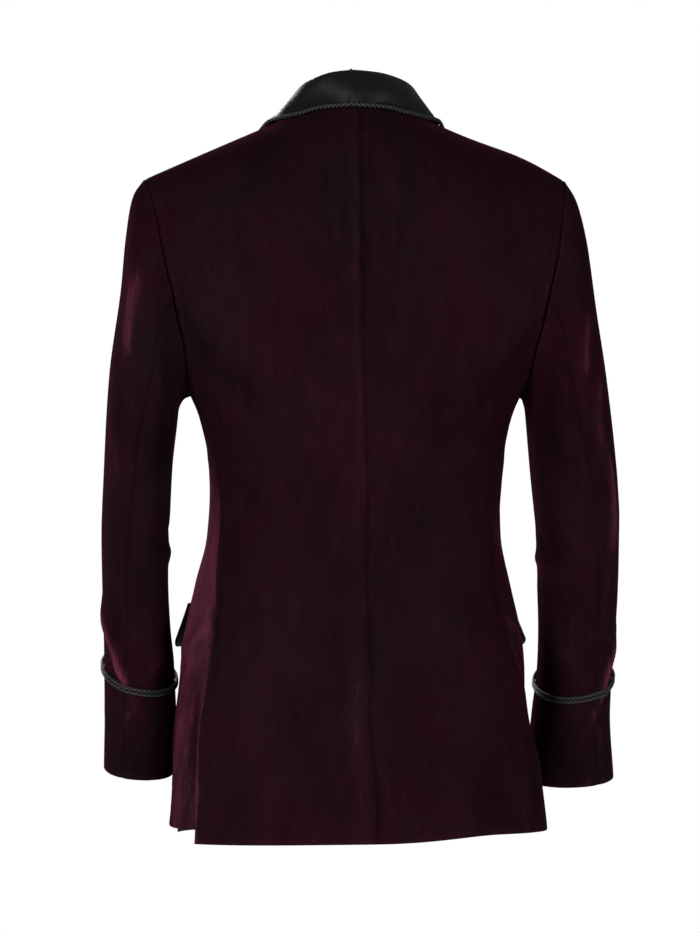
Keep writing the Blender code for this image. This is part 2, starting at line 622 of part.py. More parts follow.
def cord(name, points, radius, look, closed=False):
    """A cord sewn down along the points."""
    data = bpy.data.curves.new(name, "CURVE")
    data.dimensions = "3D"
    data.bevel_depth = radius
    data.bevel_resolution = 1
    data.use_fill_caps = not closed
    line = data.splines.new("POLY")
    line.points.add(len(points) - 1)
    line.points.foreach_set("co", np.c_[points, np.ones(len(points))].ravel())
    line.use_cyclic_u = closed
    data.materials.append(look)
    obj = bpy.data.objects.new(name, data)
    COLLECTION.objects.link(obj)
    return obj


def collar_cord(side):
    """The cord's middle line, just beyond the collar's outer edge."""
    points = collar_half(side)
    edge = points[:, -1]
    at = collar_rows(len(edge) - 1)
    face = np.where(curve(np.arange(len(COLLAR["face"])), COLLAR["face"], at) < 0, -1.0, 1.0)
    skin = skin_normal(edge[:, 0], edge[:, 2], face)
    away = np.cross(np.gradient(edge, axis=0), skin)
    away *= np.sign((away * (edge - points[:, -3])).sum(1, keepdims=True))
    away /= np.linalg.norm(away, axis=1, keepdims=True)
    line = edge + away * (COLLAR_CORD_RADIUS + CORD_STAND) + skin * CORD_STAND
    line[0, 0] = SEAM_GAP + collar_sway(0.0, side)
    return line[:-1]


def cuff_cord(side, t, points=24):
    """A closed line round the sleeve, lower at the back of the arm than at its sides."""
    turn = np.linspace(0, 2 * math.pi, points, endpoint=False)
    along = t + CUFF_CORD_TILT * np.sin(turn)
    line = sleeve_at(along, turn, side)
    middle = line.mean(0)
    out = line - middle
    out[:, 2] = 0
    out /= np.linalg.norm(out, axis=1, keepdims=True)
    return line + out * (CUFF_CORD_RADIUS + CUFF_STAND)


def button():
    """A covered button: a turned dome with a short shank, on the left front's outer side."""
    mesh = bpy.data.meshes.new("button")
    mesh.from_pydata([(r, 0, h) for r, h in BUTTON[::-1]], [(i, i + 1) for i in range(len(BUTTON) - 1)], [])
    obj = bpy.data.objects.new("button", mesh)
    COLLECTION.objects.link(obj)
    turned = obj.modifiers.new("turned", "SCREW")
    turned.steps = 16
    turned.render_steps = 16
    turned.use_merge_vertices = True
    turned.merge_threshold = 0.0001
    mesh.materials.append(SATIN)
    seat = on_skin(np.array([0.0]), np.array([BUTTON_Z]), np.array([-1.0]), LAY, "left")[0]
    obj.location = seat
    obj.rotation_euler = (math.pi / 2, 0, 0)


def flap(side, rows=3, columns=7):
    """A satin pocket flap on the front of the hip, standing off a little towards its lower edge."""
    first = math.radians(FLAP["rear_angle"])
    shares = np.linspace(0, 1, columns + 1)
    angle = first + shares * FLAP["length"] / HIP_ROUND
    grid = []
    for down in np.linspace(1, 0, rows + 1):
        z = FLAP["top_z"] - down * FLAP["height"] * (1 - FLAP["round"] * (2 * shares - 1) ** 8)
        skin = body_at(angle, z)
        normal = np.stack([np.sin(angle), np.cos(angle), 0 * angle], -1)
        flare = FLAP_FLARE[side] * down**1.5 * (1 - (1 - FLAP["front_flare"]) * shares)
        off = FLAP["wall"] + FLAP["lift"] + flare
        grid.append(skin + normal * off[:, None])
    return np.array(grid)


for old in list(bpy.data.objects):
    bpy.data.objects.remove(old, do_unlink=True)
COLLECTION = in_collection(NAME)
VELVET = material("velvet")
SATIN = material("satin")
CORD = material("cord")

for SIDE, MIRRORED in (("left", False), ("right", True)):
    for piece, panel in (("back_", back_panel), ("side_", side_panel), ("front_", front_panel)):
        cloth(piece + SIDE, fuller(swayed(panel(SIDE), SIDE), SIDE), WALL, VELVET, MIRRORED)
    for piece in ("top", "under"):
        surface = fuller(sleeve_panel(SIDE, piece), SIDE)
        cloth("sleeve_" + piece + "_" + SIDE, surface, WALL, VELVET, MIRRORED)
    cloth("collar_" + SIDE, collar_half(SIDE), COLLAR_WALL, SATIN, MIRRORED)
    cloth("pocket_flap_" + SIDE, swayed(flap(SIDE), SIDE), FLAP["wall"], SATIN, MIRRORED)
    flip = np.array([-1 if MIRRORED else 1, 1, 1])
    cord("collar_cord_" + SIDE, collar_cord(SIDE) * flip, COLLAR_CORD_RADIUS, CORD)
    for place, t in zip(("upper", "lower"), CUFF_CORD_AT):
        line = cuff_cord(SIDE, t) * flip
        cord("cuff_cord_" + place + "_" + SIDE, line, CUFF_CORD_RADIUS, CORD, closed=True)
button()
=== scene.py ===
"""The looks of a velvet smoking jacket with a satin shawl collar and twisted cord trim.

Every cloth piece is a numpy surface on two parameters, finer than the solids but on their form, with its
folds and seams laid into it along its normals. Metres, +Z up, the front faces -Y, the wearer's left is +X.
"""

import math

import bmesh
import bpy
import numpy as np
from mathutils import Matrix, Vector


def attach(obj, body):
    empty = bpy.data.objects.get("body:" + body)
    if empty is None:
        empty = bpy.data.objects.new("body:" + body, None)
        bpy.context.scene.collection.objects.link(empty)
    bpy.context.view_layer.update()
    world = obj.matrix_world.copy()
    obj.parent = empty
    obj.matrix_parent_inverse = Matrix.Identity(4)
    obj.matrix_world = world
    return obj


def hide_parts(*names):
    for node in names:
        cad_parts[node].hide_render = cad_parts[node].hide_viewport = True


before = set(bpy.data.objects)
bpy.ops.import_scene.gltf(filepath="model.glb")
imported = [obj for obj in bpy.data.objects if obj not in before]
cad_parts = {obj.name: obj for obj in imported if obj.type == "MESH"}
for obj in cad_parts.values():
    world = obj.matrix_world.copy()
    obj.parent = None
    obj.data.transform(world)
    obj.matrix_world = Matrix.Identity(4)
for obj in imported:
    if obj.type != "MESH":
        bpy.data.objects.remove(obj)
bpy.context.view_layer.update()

# Walls of the velvet and of the satin collar, and the room left between cloth and what lies on it.
WALL = 0.0018
COLLAR_WALL = 0.0016
LAY = 0.0007
# The body's rings are squarer than ellipses by this power. The next lines place the shoulder line, seen from
# behind, and the reach over which the body rolls over it.
ROUNDNESS = 0.80
SHOULDER_DROP = 0.4556
SHOULDER_TOP = 0.0175
SHOULDER_BLEND = 0.04
NAPE_RISE = 0.016
NAPE_SPREAD = 0.045
RIDGE_Y = -0.005
SHOULDER_ROLL = 0.11
# Where the shoulder meets the neck, half the neck's depth, and the shoulder's tip as x and z.
NECK_X = 0.076
NECK_Y = 0.064
TIP = (0.217, -0.065)
# Heights of the underarm and the hem, how far the hem drops to the front and rises at the side body over the
# last share of its length, and how deep the armhole dips under the arm, from this height down.
JOIN_Z = -0.262
HEM_Z = -0.733
FRONT_DROP = 0.012
SIDE_RISE = 0.013
SIDE_RISE_SHARE = 0.07
ARMHOLE_DIP = 0.025
DIP_FROM_Z = -0.301
UNDERARM_BLEND = 0.02
VENT_TOP = -0.53
UNDERLAP = 0.034
UNDERLAP_SHARE = 0.3
BUTTON_Z = -0.405
# Rough radii of the body's round at its side and at the hip, which turn a length along it into an angle.
SIDE_ROUND = 0.12
HIP_ROUND = 0.165
SLEEVE_SET = 0.0006

# Heights down the body with half width, depth to the back and depth to the front.
BODY = {
    "z": (-0.75, -0.73, -0.66, -0.6, -0.54, -0.48, -0.43, -0.39, -0.35, -0.31, -0.285, -0.268, -0.25, -0.22,
          -0.18, -0.13, -0.06),
    "half": (0.193, 0.192, 0.187, 0.1795, 0.1745, 0.162, 0.151, 0.149, 0.1515, 0.16, 0.1705, 0.18, 0.191,
             0.208, 0.222, 0.232, 0.235),
    "back": (0.132, 0.131, 0.126, 0.12, 0.112, 0.101, 0.093, 0.091, 0.096, 0.103, 0.107, 0.109, 0.111,
             0.114, 0.116, 0.115, 0.11),
    "front": (0.148, 0.147, 0.144, 0.14, 0.136, 0.132, 0.129, 0.128, 0.129, 0.131, 0.132, 0.132, 0.131,
              0.128, 0.123, 0.113, 0.098),
}

# The armhole seam seen from behind or from the front.
ARMHOLE = {
    "z": (-0.262, -0.24, -0.216, -0.183, -0.161, -0.13, -0.103, -0.08, -0.065),
    "x": (0.1755, 0.179, 0.185, 0.1915, 0.197, 0.203, 0.208, 0.213, 0.217),
}

# How far the centre-back seam lies to the wearer's left of the middle.
CENTRE_SEAM = {
    "z": (-0.75, -0.57, -0.38, -0.31, -0.2, -0.05, 0.02),
    "x": (-0.011, -0.007, -0.004, 0, 0.005, 0.005, 0.006),
}

# The side-back seam by its distance from the middle, and the seam between side body and front by the degrees
# that it lies round from the centre back.
SIDE_SEAMS = {
    "z": (-0.75, -0.72, -0.66, -0.618, -0.585, -0.544, -0.484, -0.413, -0.36, -0.31, -0.262),
    "back_x": (0.161, 0.158, 0.154, 0.151, 0.147, 0.141, 0.134, 0.134, 0.144, 0.1595, 0.1755),
    "front_angle": (112, 112, 113, 114, 115, 116, 117, 117, 116, 113, 109),
}

# Degrees by which the side-back seam and vent lie further round to the front than the table above.
SEAM_SWING = {
    "z": (-0.75, -0.672, -0.629, -0.581, -0.542, -0.49, -0.455, -0.4, -0.34),
    "left": (3, 3.5, 3.4, 4.5, 5.5, 6.5, 7.4, 5, 0),
    "right": (32, 25, 20, 17, 11, 7, 6, 4, 0),
}

# How far the skirt hangs to the wearer's left, and how much higher the right half's hem is.
SKIRT_SWAY = {
    "z": (-0.75, -0.67, -0.62, -0.56, -0.48, -0.44, -0.39, -0.34),
    "x": (0, 0.002, 0.005, 0.003, 0.003, 0.002, 0.001, 0),
}
HEM_RISE = {"left": 0, "right": 0.007}
HEM_RISE_REACH = 0.7

# The right shoulder is a little fuller halfway out.
SHOULDER_RISE = 0.0055
RISE_X = 0.175
RISE_REACH = 0.045
RISE_FROM_Z = -0.3
RISE_Z_REACH = 0.22

# The front edge: the roll line above the button and the cutaway below it.
FRONT_EDGE = {
    "z": (-0.748, -0.74, -0.722, -0.69, -0.64, -0.57, -0.5, -0.44, -0.395, -0.3, -0.2, -0.1, -0.004),
    "x": (0.118, 0.092, 0.068, 0.046, 0.026, 0.004, -0.012, -0.019, -0.02, 0.006, 0.033, 0.058, 0.076),
}

# The right front turns back a little further out and higher, so that it tucks under the left one.
RIGHT_TUCK = 0.042
RIGHT_RISE = 0.07
TUCK = {"from_z": -0.1, "reach": 0.2, "end_z": -0.366, "end_reach": 0.05}

# Where the left front laps over the right one, and the room it leaves under it.
LAP = {"room": 0.001, "x": 0.055, "x_reach": 0.03, "z": -0.22, "z_reach": 0.07}

# How the vents stand open: the back lifts off the side body over these reaches in height and in angle.
# The underlap lies this much further in and fades round the side body.
VENT = {"lift": 0.006, "above": 0.02, "z_reach": 0.15, "angle_reach": 0.9}
UNDERLAP_SET = {"above": 0.001, "reach": 0.018, "depth": 0.0034, "depth_reach": 0.022, "angle_reach": 0.35}

# The sleeve's outline: outer and inner edge, middle and half of its depth.
SLEEVE = {
    "t": (0, 0.06, 0.14, 0.24, 0.36, 0.5, 0.62, 0.72, 0.8, 0.88, 1),
    "outer_x": (0.217, 0.229, 0.239, 0.2465, 0.256, 0.263, 0.266, 0.2655, 0.264, 0.264, 0.2665),
    "outer_z": (-0.065, -0.083, -0.125, -0.185, -0.265, -0.36, -0.44, -0.507, -0.557, -0.606, -0.68),
    "inner_x": (0.176, 0.18, 0.1815, 0.183, 0.1855, 0.189, 0.192, 0.193, 0.192, 0.1895, 0.187),
    "inner_z": (-0.287, -0.29, -0.3, -0.322, -0.365, -0.425, -0.48, -0.53, -0.573, -0.615, -0.684),
    "middle_y": (0, 0, 0.002, 0.004, 0.004, 0, -0.012, -0.03, -0.045, -0.06, -0.08),
    "half_y": (0.07, 0.077, 0.081, 0.081, 0.076, 0.069, 0.063, 0.059, 0.056, 0.053, 0.05),
}
CUFF_SLOPE = 0.15
SLEEVE_ROUNDNESS = 0.92
ARMHOLE_FADE = 0.16
HINDARM_SEAM = (100, 62)
FOREARM_SEAM = 248
# How far out each sleeve's outline lies from the table above, at its places, and how much longer it hangs.
SLEEVE_OUTER = {
    "left": (0, -0.0005, -0.0027, -0.0044, -0.003, -0.0045, -0.005, -0.006, -0.0062, -0.007, -0.009),
    "right": (0, -0.001, -0.0013, -0.0006, 0.0025, 0.007, 0.009, 0.0105, 0.0105, 0.011, 0.016),
}
SLEEVE_INNER = {
    "left": (0, 0, 0.0005, 0.0015, 0.0035, 0.0025, 0.0005, -0.0035, -0.007, -0.007, -0.003),
    "right": (0, -0.0015, -0.0036, -0.0033, -0.0025, 0, 0.0005, 0.003, 0.0045, 0.004, 0.002),
}
SLEEVE_EXTRA = {"left": -0.006, "right": 0.006}

# Stations along the shawl collar: the roll line, then the outer edge on the body.
COLLAR = {
    "roll_x": (0, 0.027, 0.049, 0.0605, 0.0645, 0.066, 0.064, 0.057, 0.046, 0.033, 0.019, 0.003, -0.011,
               -0.019),
    "roll_y": (0.063, 0.059, 0.044, 0.02, -0.008, -0.04, -0.072, -0.098, -0.116, -0.127, -0.133, -0.1345,
               -0.1335, -0.1325),
    "roll_z": (0.042, 0.0405, 0.035, 0.0255, 0.012, -0.015, -0.042, -0.088, -0.14, -0.195, -0.25, -0.31,
               -0.36, -0.388),
    "edge_x": (0, 0.03, 0.054, 0.071, 0.0835, 0.1, 0.121, 0.13, 0.128, 0.113, 0.089, 0.057, 0.022, -0.013),
    "edge_z": (0.004, 0.0025, -0.0025, -0.0045, -0.006, -0.028, -0.07, -0.118, -0.168, -0.222, -0.275,
               -0.328, -0.371, -0.3935),
    "face": (1, 1, 1, 1, 0, -1, -1, -1, -1, -1, -1, -1, -1, -1),
}
# The collar's shift to the wearer's left at the back of the neck, and the share of it that the roll takes.
COLLAR_SWAY = 0.012
SWAY_REACH = 0.08
ROLL_SWAY = 0.7
# How far the roll has settled beside the middle of the neck.
COLLAR_SETTLE = {"left": 0.0034, "right": 0.0016}
# Where the collar's rows lie: shares of its length with their stations.
COLLAR_ROWS = ((0, 0.22, 0.58, 1), (0, 2.7, 5.9, 13))
# Small lengths of the collar. "rest" is its room over the body, and "shoulder_rest" is added over the
# shoulder. "turn" is the height of the turned lapel's roll. "shoulder_rise" lifts the roll over the
# shoulder. The others place the seam and the two sides of the roll, outwards and down.
COLLAR_SET = {"rest": 0.0005, "shoulder_rest": 0.003, "turn": 0.0062, "shoulder_rise": 0.007,
              "seam_up": 0.0012, "seam_under": 0.0013, "seam_in": 0.0046, "inside_in": 0.0036,
              "inside_down": 0.0028, "outside_out": 0.004, "outside_down": 0.0022, "fall_bow": 0.004,
              "laid_from": 0.004}
# Soft rolls across the collar's fall: each one's station, its slant, its reach and its height.
COLLAR_WAVES = ((1.1, 0, 0.5, 0.0011), (2.6, 0, 0.6, -0.0009), (4.9, 1, 0.5, 0.001), (8.2, 0, 0.9, -0.0008))
# The cords: radius, length of a full turn of the twist, and sides round the tube. "off" is how far one
# stands off the edge or sleeve that it is sewn to, and "up" how far over the cloth below.
COLLAR_CORD = {"radius": 0.0021, "pitch": 0.015, "sides": 18, "off": 0.0002, "up": 0.001}
CUFF_CORD = {"radius": 0.0017, "pitch": 0.013, "sides": 14, "off": 0.0004}
STRANDS = 3
CUFF_CORD_AT = (0.819, 0.826)
CUFF_CORD_TILT = 0.02
FLAP = {"top_z": -0.5, "height": 0.046, "length": 0.15, "rear_angle": 96, "wall": 0.0022, "lift": 0.001}
FLAP_FLARE = {"left": 0.0055, "right": 0.0075}
# The covered button's turned profile from its back to its crown: shares of its radius, and heights. The
# cover is drawn in at its rim between this many gathers, by a share of its radius.
BUTTON_RADIUS = 0.0105
BUTTON_PROFILE = {
    "reach": (0.02, 0.5, 0.86, 0.97, 1, 0.985, 0.93, 0.82, 0.66, 0.46, 0.24, 0.02),
    "height": (0, 0, 0.0004, 0.0011, 0.002, 0.0029, 0.0037, 0.0044, 0.0049, 0.0052, 0.0054, 0.0055),
}
BUTTON_GATHERS = 9
GATHER_DEPTH = 0.006
BUTTON_SIDES = 64

# The velvet's ground, its paler pile and its brightest brushed pile, which the painted highlights reach, in
# a neutral and in a redder dye, and the places of the three along the pile's tone and its painted light.
VELVET_NEUTRAL = ((0.0019, 0.0013, 0.0015), (0.0085, 0.0037, 0.0047), (0.064, 0.016, 0.027))
VELVET_RED = ((0.0023, 0.0009, 0.0012), (0.0122, 0.0024, 0.0040), (0.076, 0.013, 0.025))
NAP_AND_LIGHT_PLACES = (0.0, 0.55, 1.0)
VELVET_FINISH = {"Specular IOR Level": 0.0, "Sheen Weight": 0.045, "Sheen Roughness": 0.30,
                 "Sheen Tint": (0.60, 0.16, 0.27, 1)}
# The velvet's patterns: what each lies on, its stretch, scale, detail and roughness.
VELVET_PATTERNS = {
    "pressed_and_lit": ("Object", (1.0, 1.0, 0.6), 13.0, 6.0, 0.62),
    "hue": ("Object", (1.0, 1.0, 0.7), 9.0, 7.0, 0.68),
    "brushed": ("UV", (70.0, 16.0, 1.0), 1.0, 6.0, 0.72),
    "grain": ("UV", (1.0, 0.8, 1.0), 420.0, 2.0, 0.7),
    "flecks": ("UV", (1.0, 0.30, 1.0), 95.0, 4.0, 0.7),
    "pile": ("UV", (1.0, 1.0, 1.0), 1500.0, 3.0, 0.6),
}
# How the layers add up to the pile's tone and its painted light: the range that each is read over, and what
# it adds at both its ends. The last layer is the painted light: highlights on fold tops, along edges and
# seams and down the side bodies, and shade in fold valleys and seam dips.
NAP_AND_LIGHT_LAYERS = (
    ("pressed_and_lit", 0.36, 0.66, 0.0, 0.18),
    ("brushed", 0.35, 0.68, 0.0, 0.12),
    ("flecks", 0.52, 0.74, 0.0, 0.16),
    ("grain", 0.3, 0.75, 0.0, 0.14),
    ("painted_light", -0.9, 1.4, -0.24, 0.68),
)
PILE_RELIEF = 0.00022
WRONG_SIDE = ((0.010, 0.004, 0.006), (0.030, 0.011, 0.016))
SATIN_BLACK = (0.0020, 0.0021, 0.0021)
SATIN_RIB = (0.0036, 0.0037, 0.0036)
SATIN_FINISH = {"Specular IOR Level": 0.05, "Sheen Weight": 0.03, "Sheen Roughness": 0.5,
                "Anisotropic": 0.35}
SATIN_ROUGHNESS = (0.36, 0.54)
SATIN_RELIEF = 0.00018
# The cord's black, the grey highlight painted on its strands' tops, and their places along a strand.
CORD_BLACK = (0.0020, 0.0019, 0.0020)
CORD_HIGHLIGHT = (0.062, 0.060, 0.061)
CORD_PLACES = (0.62, 0.92)
YARN_RELIEF = 0.00012

# The picture's middle, the camera's distance and its turn to the wearer's left in degrees, and its lens and
# sensor in millimetres.
MIDDLE = Vector((0, 0, -0.359))
CAMERA_AWAY = 3.2
CAMERA_TURN = 5.5
LENS = 119.8
SENSOR = 36
SHIFT_X = -0.006
FLOOR_Z = -1.45
FLOOR_RADIUS = 4.0
FLOOR_PALE = (0.82, 0.82, 0.81)
# How strongly the white surround lights the jacket, and the soft boxes: place, size and power.
SURROUND = 0.28
SOFT_BOXES = (
    ("key", (2.0, 2.6, 0.1), (0.9, 1.8), 125),
    ("fill", (-2.0, 2.7, 0.0), (0.9, 1.8), 85),
    ("front", (0.8, -2.9, 0.7), (2.0, 2.0), 190),
)


def smooth(share):
    """An S-shaped rise from 0 to 1."""
    share = np.clip(share, 0.0, 1.0)
    return share * share * (3 - 2 * share)


def curve(places, values, at):
    """A smooth curve through a table: cubic pieces whose slopes never overshoot the table's values."""
    places = np.asarray(places, float)
    values = np.asarray(values, float)
    steps = np.diff(values) / np.diff(places)
    slopes = np.empty_like(values)
    slopes[0] = steps[0]
    slopes[-1] = steps[-1]
    same_way = steps[1:] * steps[:-1] > 0
    mean = 2 * steps[1:] * steps[:-1] / np.where(same_way, steps[1:] + steps[:-1], 1.0)
    slopes[1:-1] = np.where(same_way, mean, 0.0)
    at = np.clip(np.asarray(at, float), places[0], places[-1])
    cell = np.clip(np.searchsorted(places, at, side="right") - 1, 0, len(places) - 2)
    width = places[cell + 1] - places[cell]
    share = (at - places[cell]) / width
    rise = values[cell + 1] - values[cell]
    bend = slopes[cell] * share * (1 - share) ** 2 - slopes[cell + 1] * share**2 * (1 - share)
    return values[cell] + rise * share**2 * (3 - 2 * share) + bend * width


def read(table, column, at):
    """A column of a table, by a smooth curve over the places in its first column."""
    return curve(next(iter(table.values())), table[column], at)


def beside(place, edge, reach):
    """A bell that is 1 at an edge and fades within its reach."""
    return np.exp(-np.square((place - edge) / reach))


def body(column, z):
    """The body's half width or one of its depths at height z."""
    return read(BODY, column, z)


def ridge_z(x):
    """The shoulder line seen from behind, rising to the nape in the middle."""
    slope = SHOULDER_DROP * (np.sqrt(np.square(x) + SHOULDER_BLEND**2) - SHOULDER_BLEND)
    return SHOULDER_TOP - slope + NAPE_RISE * beside(x, 0, NAPE_SPREAD)


def angle_at(x, z):
    """The angle round the body, from the middle of the back, of a place x out at height z."""
    share = np.clip(np.asarray(x) / body("half", z), -1, 1)
    return np.arcsin(np.sign(share) * np.abs(share) ** (1 / ROUNDNESS))


def over_shoulder(x, z, y):
    """Brings the depth y in to the shoulder line where z comes within the shoulder's roll."""
    rise = np.clip((z - ridge_z(x) + SHOULDER_ROLL) / SHOULDER_ROLL, 0, 1)
    return RIDGE_Y + (y - RIDGE_Y) * np.sqrt(np.maximum(1 - rise**2, 0))


def body_at(angle, z):
    """A point of the body's outer surface at height z."""
    across = np.sin(angle)
    along = np.cos(angle)
    x = body("half", z) * np.sign(across) * np.abs(across) ** ROUNDNESS
    depth = np.where(along > 0, body("back", z), body("front", z))
    y = depth * np.sign(along) * np.abs(along) ** ROUNDNESS
    return np.stack([x, over_shoulder(x, z, y), z + 0 * x], -1)


def body_on(x, z, face):
    """A point of the outer surface from its place x, z and its face: 1 for the back, -1 for the front."""
    angle = angle_at(x, z)
    return body_at(np.where(np.asarray(face) < 0, math.pi - angle, angle), z)


def back_edge(z):
    """The angle of the back panel's outer edge: side-back seam, then armhole."""
    seam = angle_at(read(SIDE_SEAMS, "back_x", z), z)
    armhole = angle_at(read(ARMHOLE, "x", z), z)
    return np.where(np.asarray(z) > JOIN_Z, armhole, seam)


def side_edge(z):
    """The angle of the front's outer edge: its seam to the side body, then armhole."""
    seam = np.radians(read(SIDE_SEAMS, "front_angle", z))
    armhole = math.pi - angle_at(read(ARMHOLE, "x", z), z)
    blend = smooth((np.asarray(z) - JOIN_Z) / UNDERARM_BLEND)
    low = np.radians(SIDE_SEAMS["front_angle"][-1])
    start = math.pi - angle_at(ARMHOLE["x"][0], JOIN_Z)
    return np.where(np.asarray(z) > JOIN_Z, armhole + (low - start) * (1 - blend), seam)


def nape(x):
    """The height of the back neck seam."""
    depth = RIDGE_Y + NECK_Y * np.sqrt(np.maximum(1 - (x / NECK_X) ** 2, 0))
    share = (depth - RIDGE_Y) / (BODY["back"][-1] - RIDGE_Y)
    return ridge_z(x) - SHOULDER_ROLL * (1 - np.sqrt(1 - share**2))


def top_z(x):
    """The panel's upper end: the back neck seam, then the shoulder seam."""
    return np.where(x < NECK_X, nape(np.minimum(x, NECK_X)), ridge_z(x))


def hem_fall(level, angle, side):
    """How far a row of the body below the armhole has come down, more towards the front."""
    share = np.clip((JOIN_Z - level) / (JOIN_Z - HEM_Z), 0, 1)
    return share * (FRONT_DROP * smooth(angle / math.pi) - HEM_RISE[side] * smooth(angle / HEM_RISE_REACH))


def seam_swing(level, side):
    """The angle that the side-back seam lies further round at this height."""
    return np.radians(read(SEAM_SWING, side, level))


def swayed(points, side):
    """The points moved over with the skirt. Each half is worked out on the left and mirrored later."""
    points[..., 0] += read(SKIRT_SWAY, "x", points[..., 2]) * (1 if side == "left" else -1)
    return points


def fuller(points, side):
    """The points of a right piece lifted where that shoulder is fuller."""
    if side == "right":
        high = smooth((points[..., 2] - RISE_FROM_Z) / RISE_Z_REACH)
        points[..., 2] += SHOULDER_RISE * beside(points[..., 0], RISE_X, RISE_REACH) * high
    return points


def tuck(z, side):
    """0 on the left. On the right it rises to 1 down the lapel."""
    return smooth((TUCK["from_z"] - z) / TUCK["reach"]) * (side == "right")


def front_edge(z, side):
    """How far from the middle the front's edge lies at height z."""
    hidden = 1 - smooth((TUCK["end_z"] - z) / TUCK["end_reach"])
    return read(FRONT_EDGE, "x", z) + RIGHT_TUCK * tuck(z, side) * hidden


def lap_lift(x, z, side):
    """The left front stands off the right one where it laps over it."""
    across = smooth((LAP["x"] - x) / LAP["x_reach"])
    down = smooth((LAP["z"] - z) / LAP["z_reach"])
    return (WALL + LAY + LAP["room"]) * across * down * (side == "left")


def vent_lift(angle, z, edge):
    """How far the back stands off the side body beside its vent."""
    down = smooth((VENT_TOP + VENT["above"] - z) / VENT["z_reach"])
    return VENT["lift"] * down * smooth(1 - (edge - angle) / VENT["angle_reach"])


# Folds, a row for each: the place where it starts, the place where it ends, and its width and height in
# millimetres. On the body a place is degrees round from the centre back, and a height.
BODY_FOLDS = {
    "left": (
        (61, -0.52, 74, -0.551, 6, 2.4), (62, -0.545, 77, -0.583, 6, 2), (57, -0.498, 56, -0.524, 8, -3.4),
        (57, -0.655, 58, -0.728, 10, 2.4), (78, -0.6, 74, -0.73, 17, 3.2),
        (50, -0.36, 28, -0.415, 18, -1.8), (58, -0.205, 33, -0.3, 22, -2.6),
        (22, -0.47, 25, -0.73, 34, 2.2), (38, -0.62, 40, -0.73, 22, -1.8),
        (150, -0.4, 120, -0.36, 16, -2.2), (160, -0.425, 128, -0.47, 18, -2),
        (118, -0.3, 112, -0.39, 20, 2.6), (88, -0.33, 80, -0.4, 15, 2.2),
        (66, -0.575, 68, -0.725, 10, -1.8), (30, -0.15, 44, -0.235, 30, 1.8),
        (70, -0.56, 86, -0.545, 7, 1.6), (95, -0.64, 101, -0.735, 18, -3), (76, -0.512, 90, -0.56, 5, 2.2),
        (74, -0.64, 79, -0.7, 6, 2.2),
    ),
    "right": (
        (62, -0.515, 76, -0.54, 7, 2), (66, -0.6, 68, -0.728, 12, 2.4), (52, -0.35, 26, -0.405, 19, -1.6),
        (56, -0.215, 36, -0.31, 20, -2.4), (20, -0.48, 23, -0.73, 30, 2), (41, -0.61, 43, -0.73, 24, -2),
        (152, -0.395, 122, -0.35, 15, -2), (158, -0.43, 130, -0.48, 19, -2.2),
        (116, -0.31, 111, -0.4, 21, 2.4), (86, -0.335, 79, -0.405, 14, 2), (58, -0.66, 57, -0.73, 10, 2),
        (32, -0.16, 46, -0.245, 28, 1.6), (76, -0.59, 80, -0.73, 16, -2.4),
        (98, -0.63, 103, -0.735, 17, -2.6),
    ),
}
# On a sleeve a place is degrees round from the outer edge over the back, and a share of the length.
SLEEVE_FOLDS = {
    "left": (
        (-12, 0.715, 74, 0.858, 7, 4.4), (42, 0.8, 76, 0.848, 5, 2.4), (80, 0.875, 62, 0.915, 6, 2.2),
        (178, 0.5, 118, 0.56, 10, -3.4), (200, 0.545, 140, 0.6, 9, 2.6), (70, 0.12, 58, 0.34, 15, 3),
        (120, 0.15, 112, 0.42, 12, -2.2), (30, 0.4, 44, 0.56, 14, 2.2), (95, 0.64, 60, 0.73, 11, -2.2),
        (150, 0.76, 100, 0.82, 9, 2.2), (300, 0.48, 232, 0.56, 11, -3.4), (250, 0.52, 214, 0.6, 9, 2.6),
        (10, 0.905, 40, 0.96, 9, 1.4), (120, 0.88, 112, 0.985, 8, -1.4),
    ),
    "right": (
        (12, 0.75, 64, 0.872, 7, 4.8), (66, 0.885, 57, 0.94, 6, 2.4), (62, 0.42, 60, 0.64, 8, 3.4),
        (52, 0.2, 76, 0.32, 11, 3), (44, 0.31, 64, 0.44, 10, 2.6), (176, 0.5, 120, 0.565, 10, -3.4),
        (205, 0.55, 146, 0.605, 9, 2.6), (96, 0.56, 88, 0.7, 10, -2), (128, 0.16, 116, 0.43, 13, -2.4),
        (20, 0.52, 34, 0.68, 11, 1.8), (140, 0.74, 96, 0.8, 8, 2), (300, 0.47, 230, 0.555, 11, -3.4),
        (250, 0.53, 212, 0.61, 9, 2.6), (84, 0.7, 66, 0.8, 8, -1.8),
    ),
}
FOLD_BOW = 0.10
FOLD_ENDS = 0.35
# Rough radii and length that turn a place on the body or a sleeve into metres.
BODY_ROUND = 0.155
ARM_ROUND = 0.058
ARM_LENGTH = 0.62
SEAM_DEPTH = 0.0007
# The back runs on a little under the collar, most at this distance from the middle.
NECK_TURNING = 0.0034
NECK_TURNING_X = 0.050
# The height of a fold whose top gets the full painted highlight, on the body and on the sleeves, and the
# deepest painted shade in a sleeve's fold valleys.
BODY_CREST = 0.0070
SLEEVE_CREST = 0.0036
SLEEVE_DARKEST = -0.15
# Half widths of the valleys along the seams, in metres on the back and in radians round the other pieces.
CENTRE_VALLEY = 0.005
BACK_VALLEY = 0.004
SIDE_VALLEY = 0.03
SLEEVE_VALLEY = 0.07
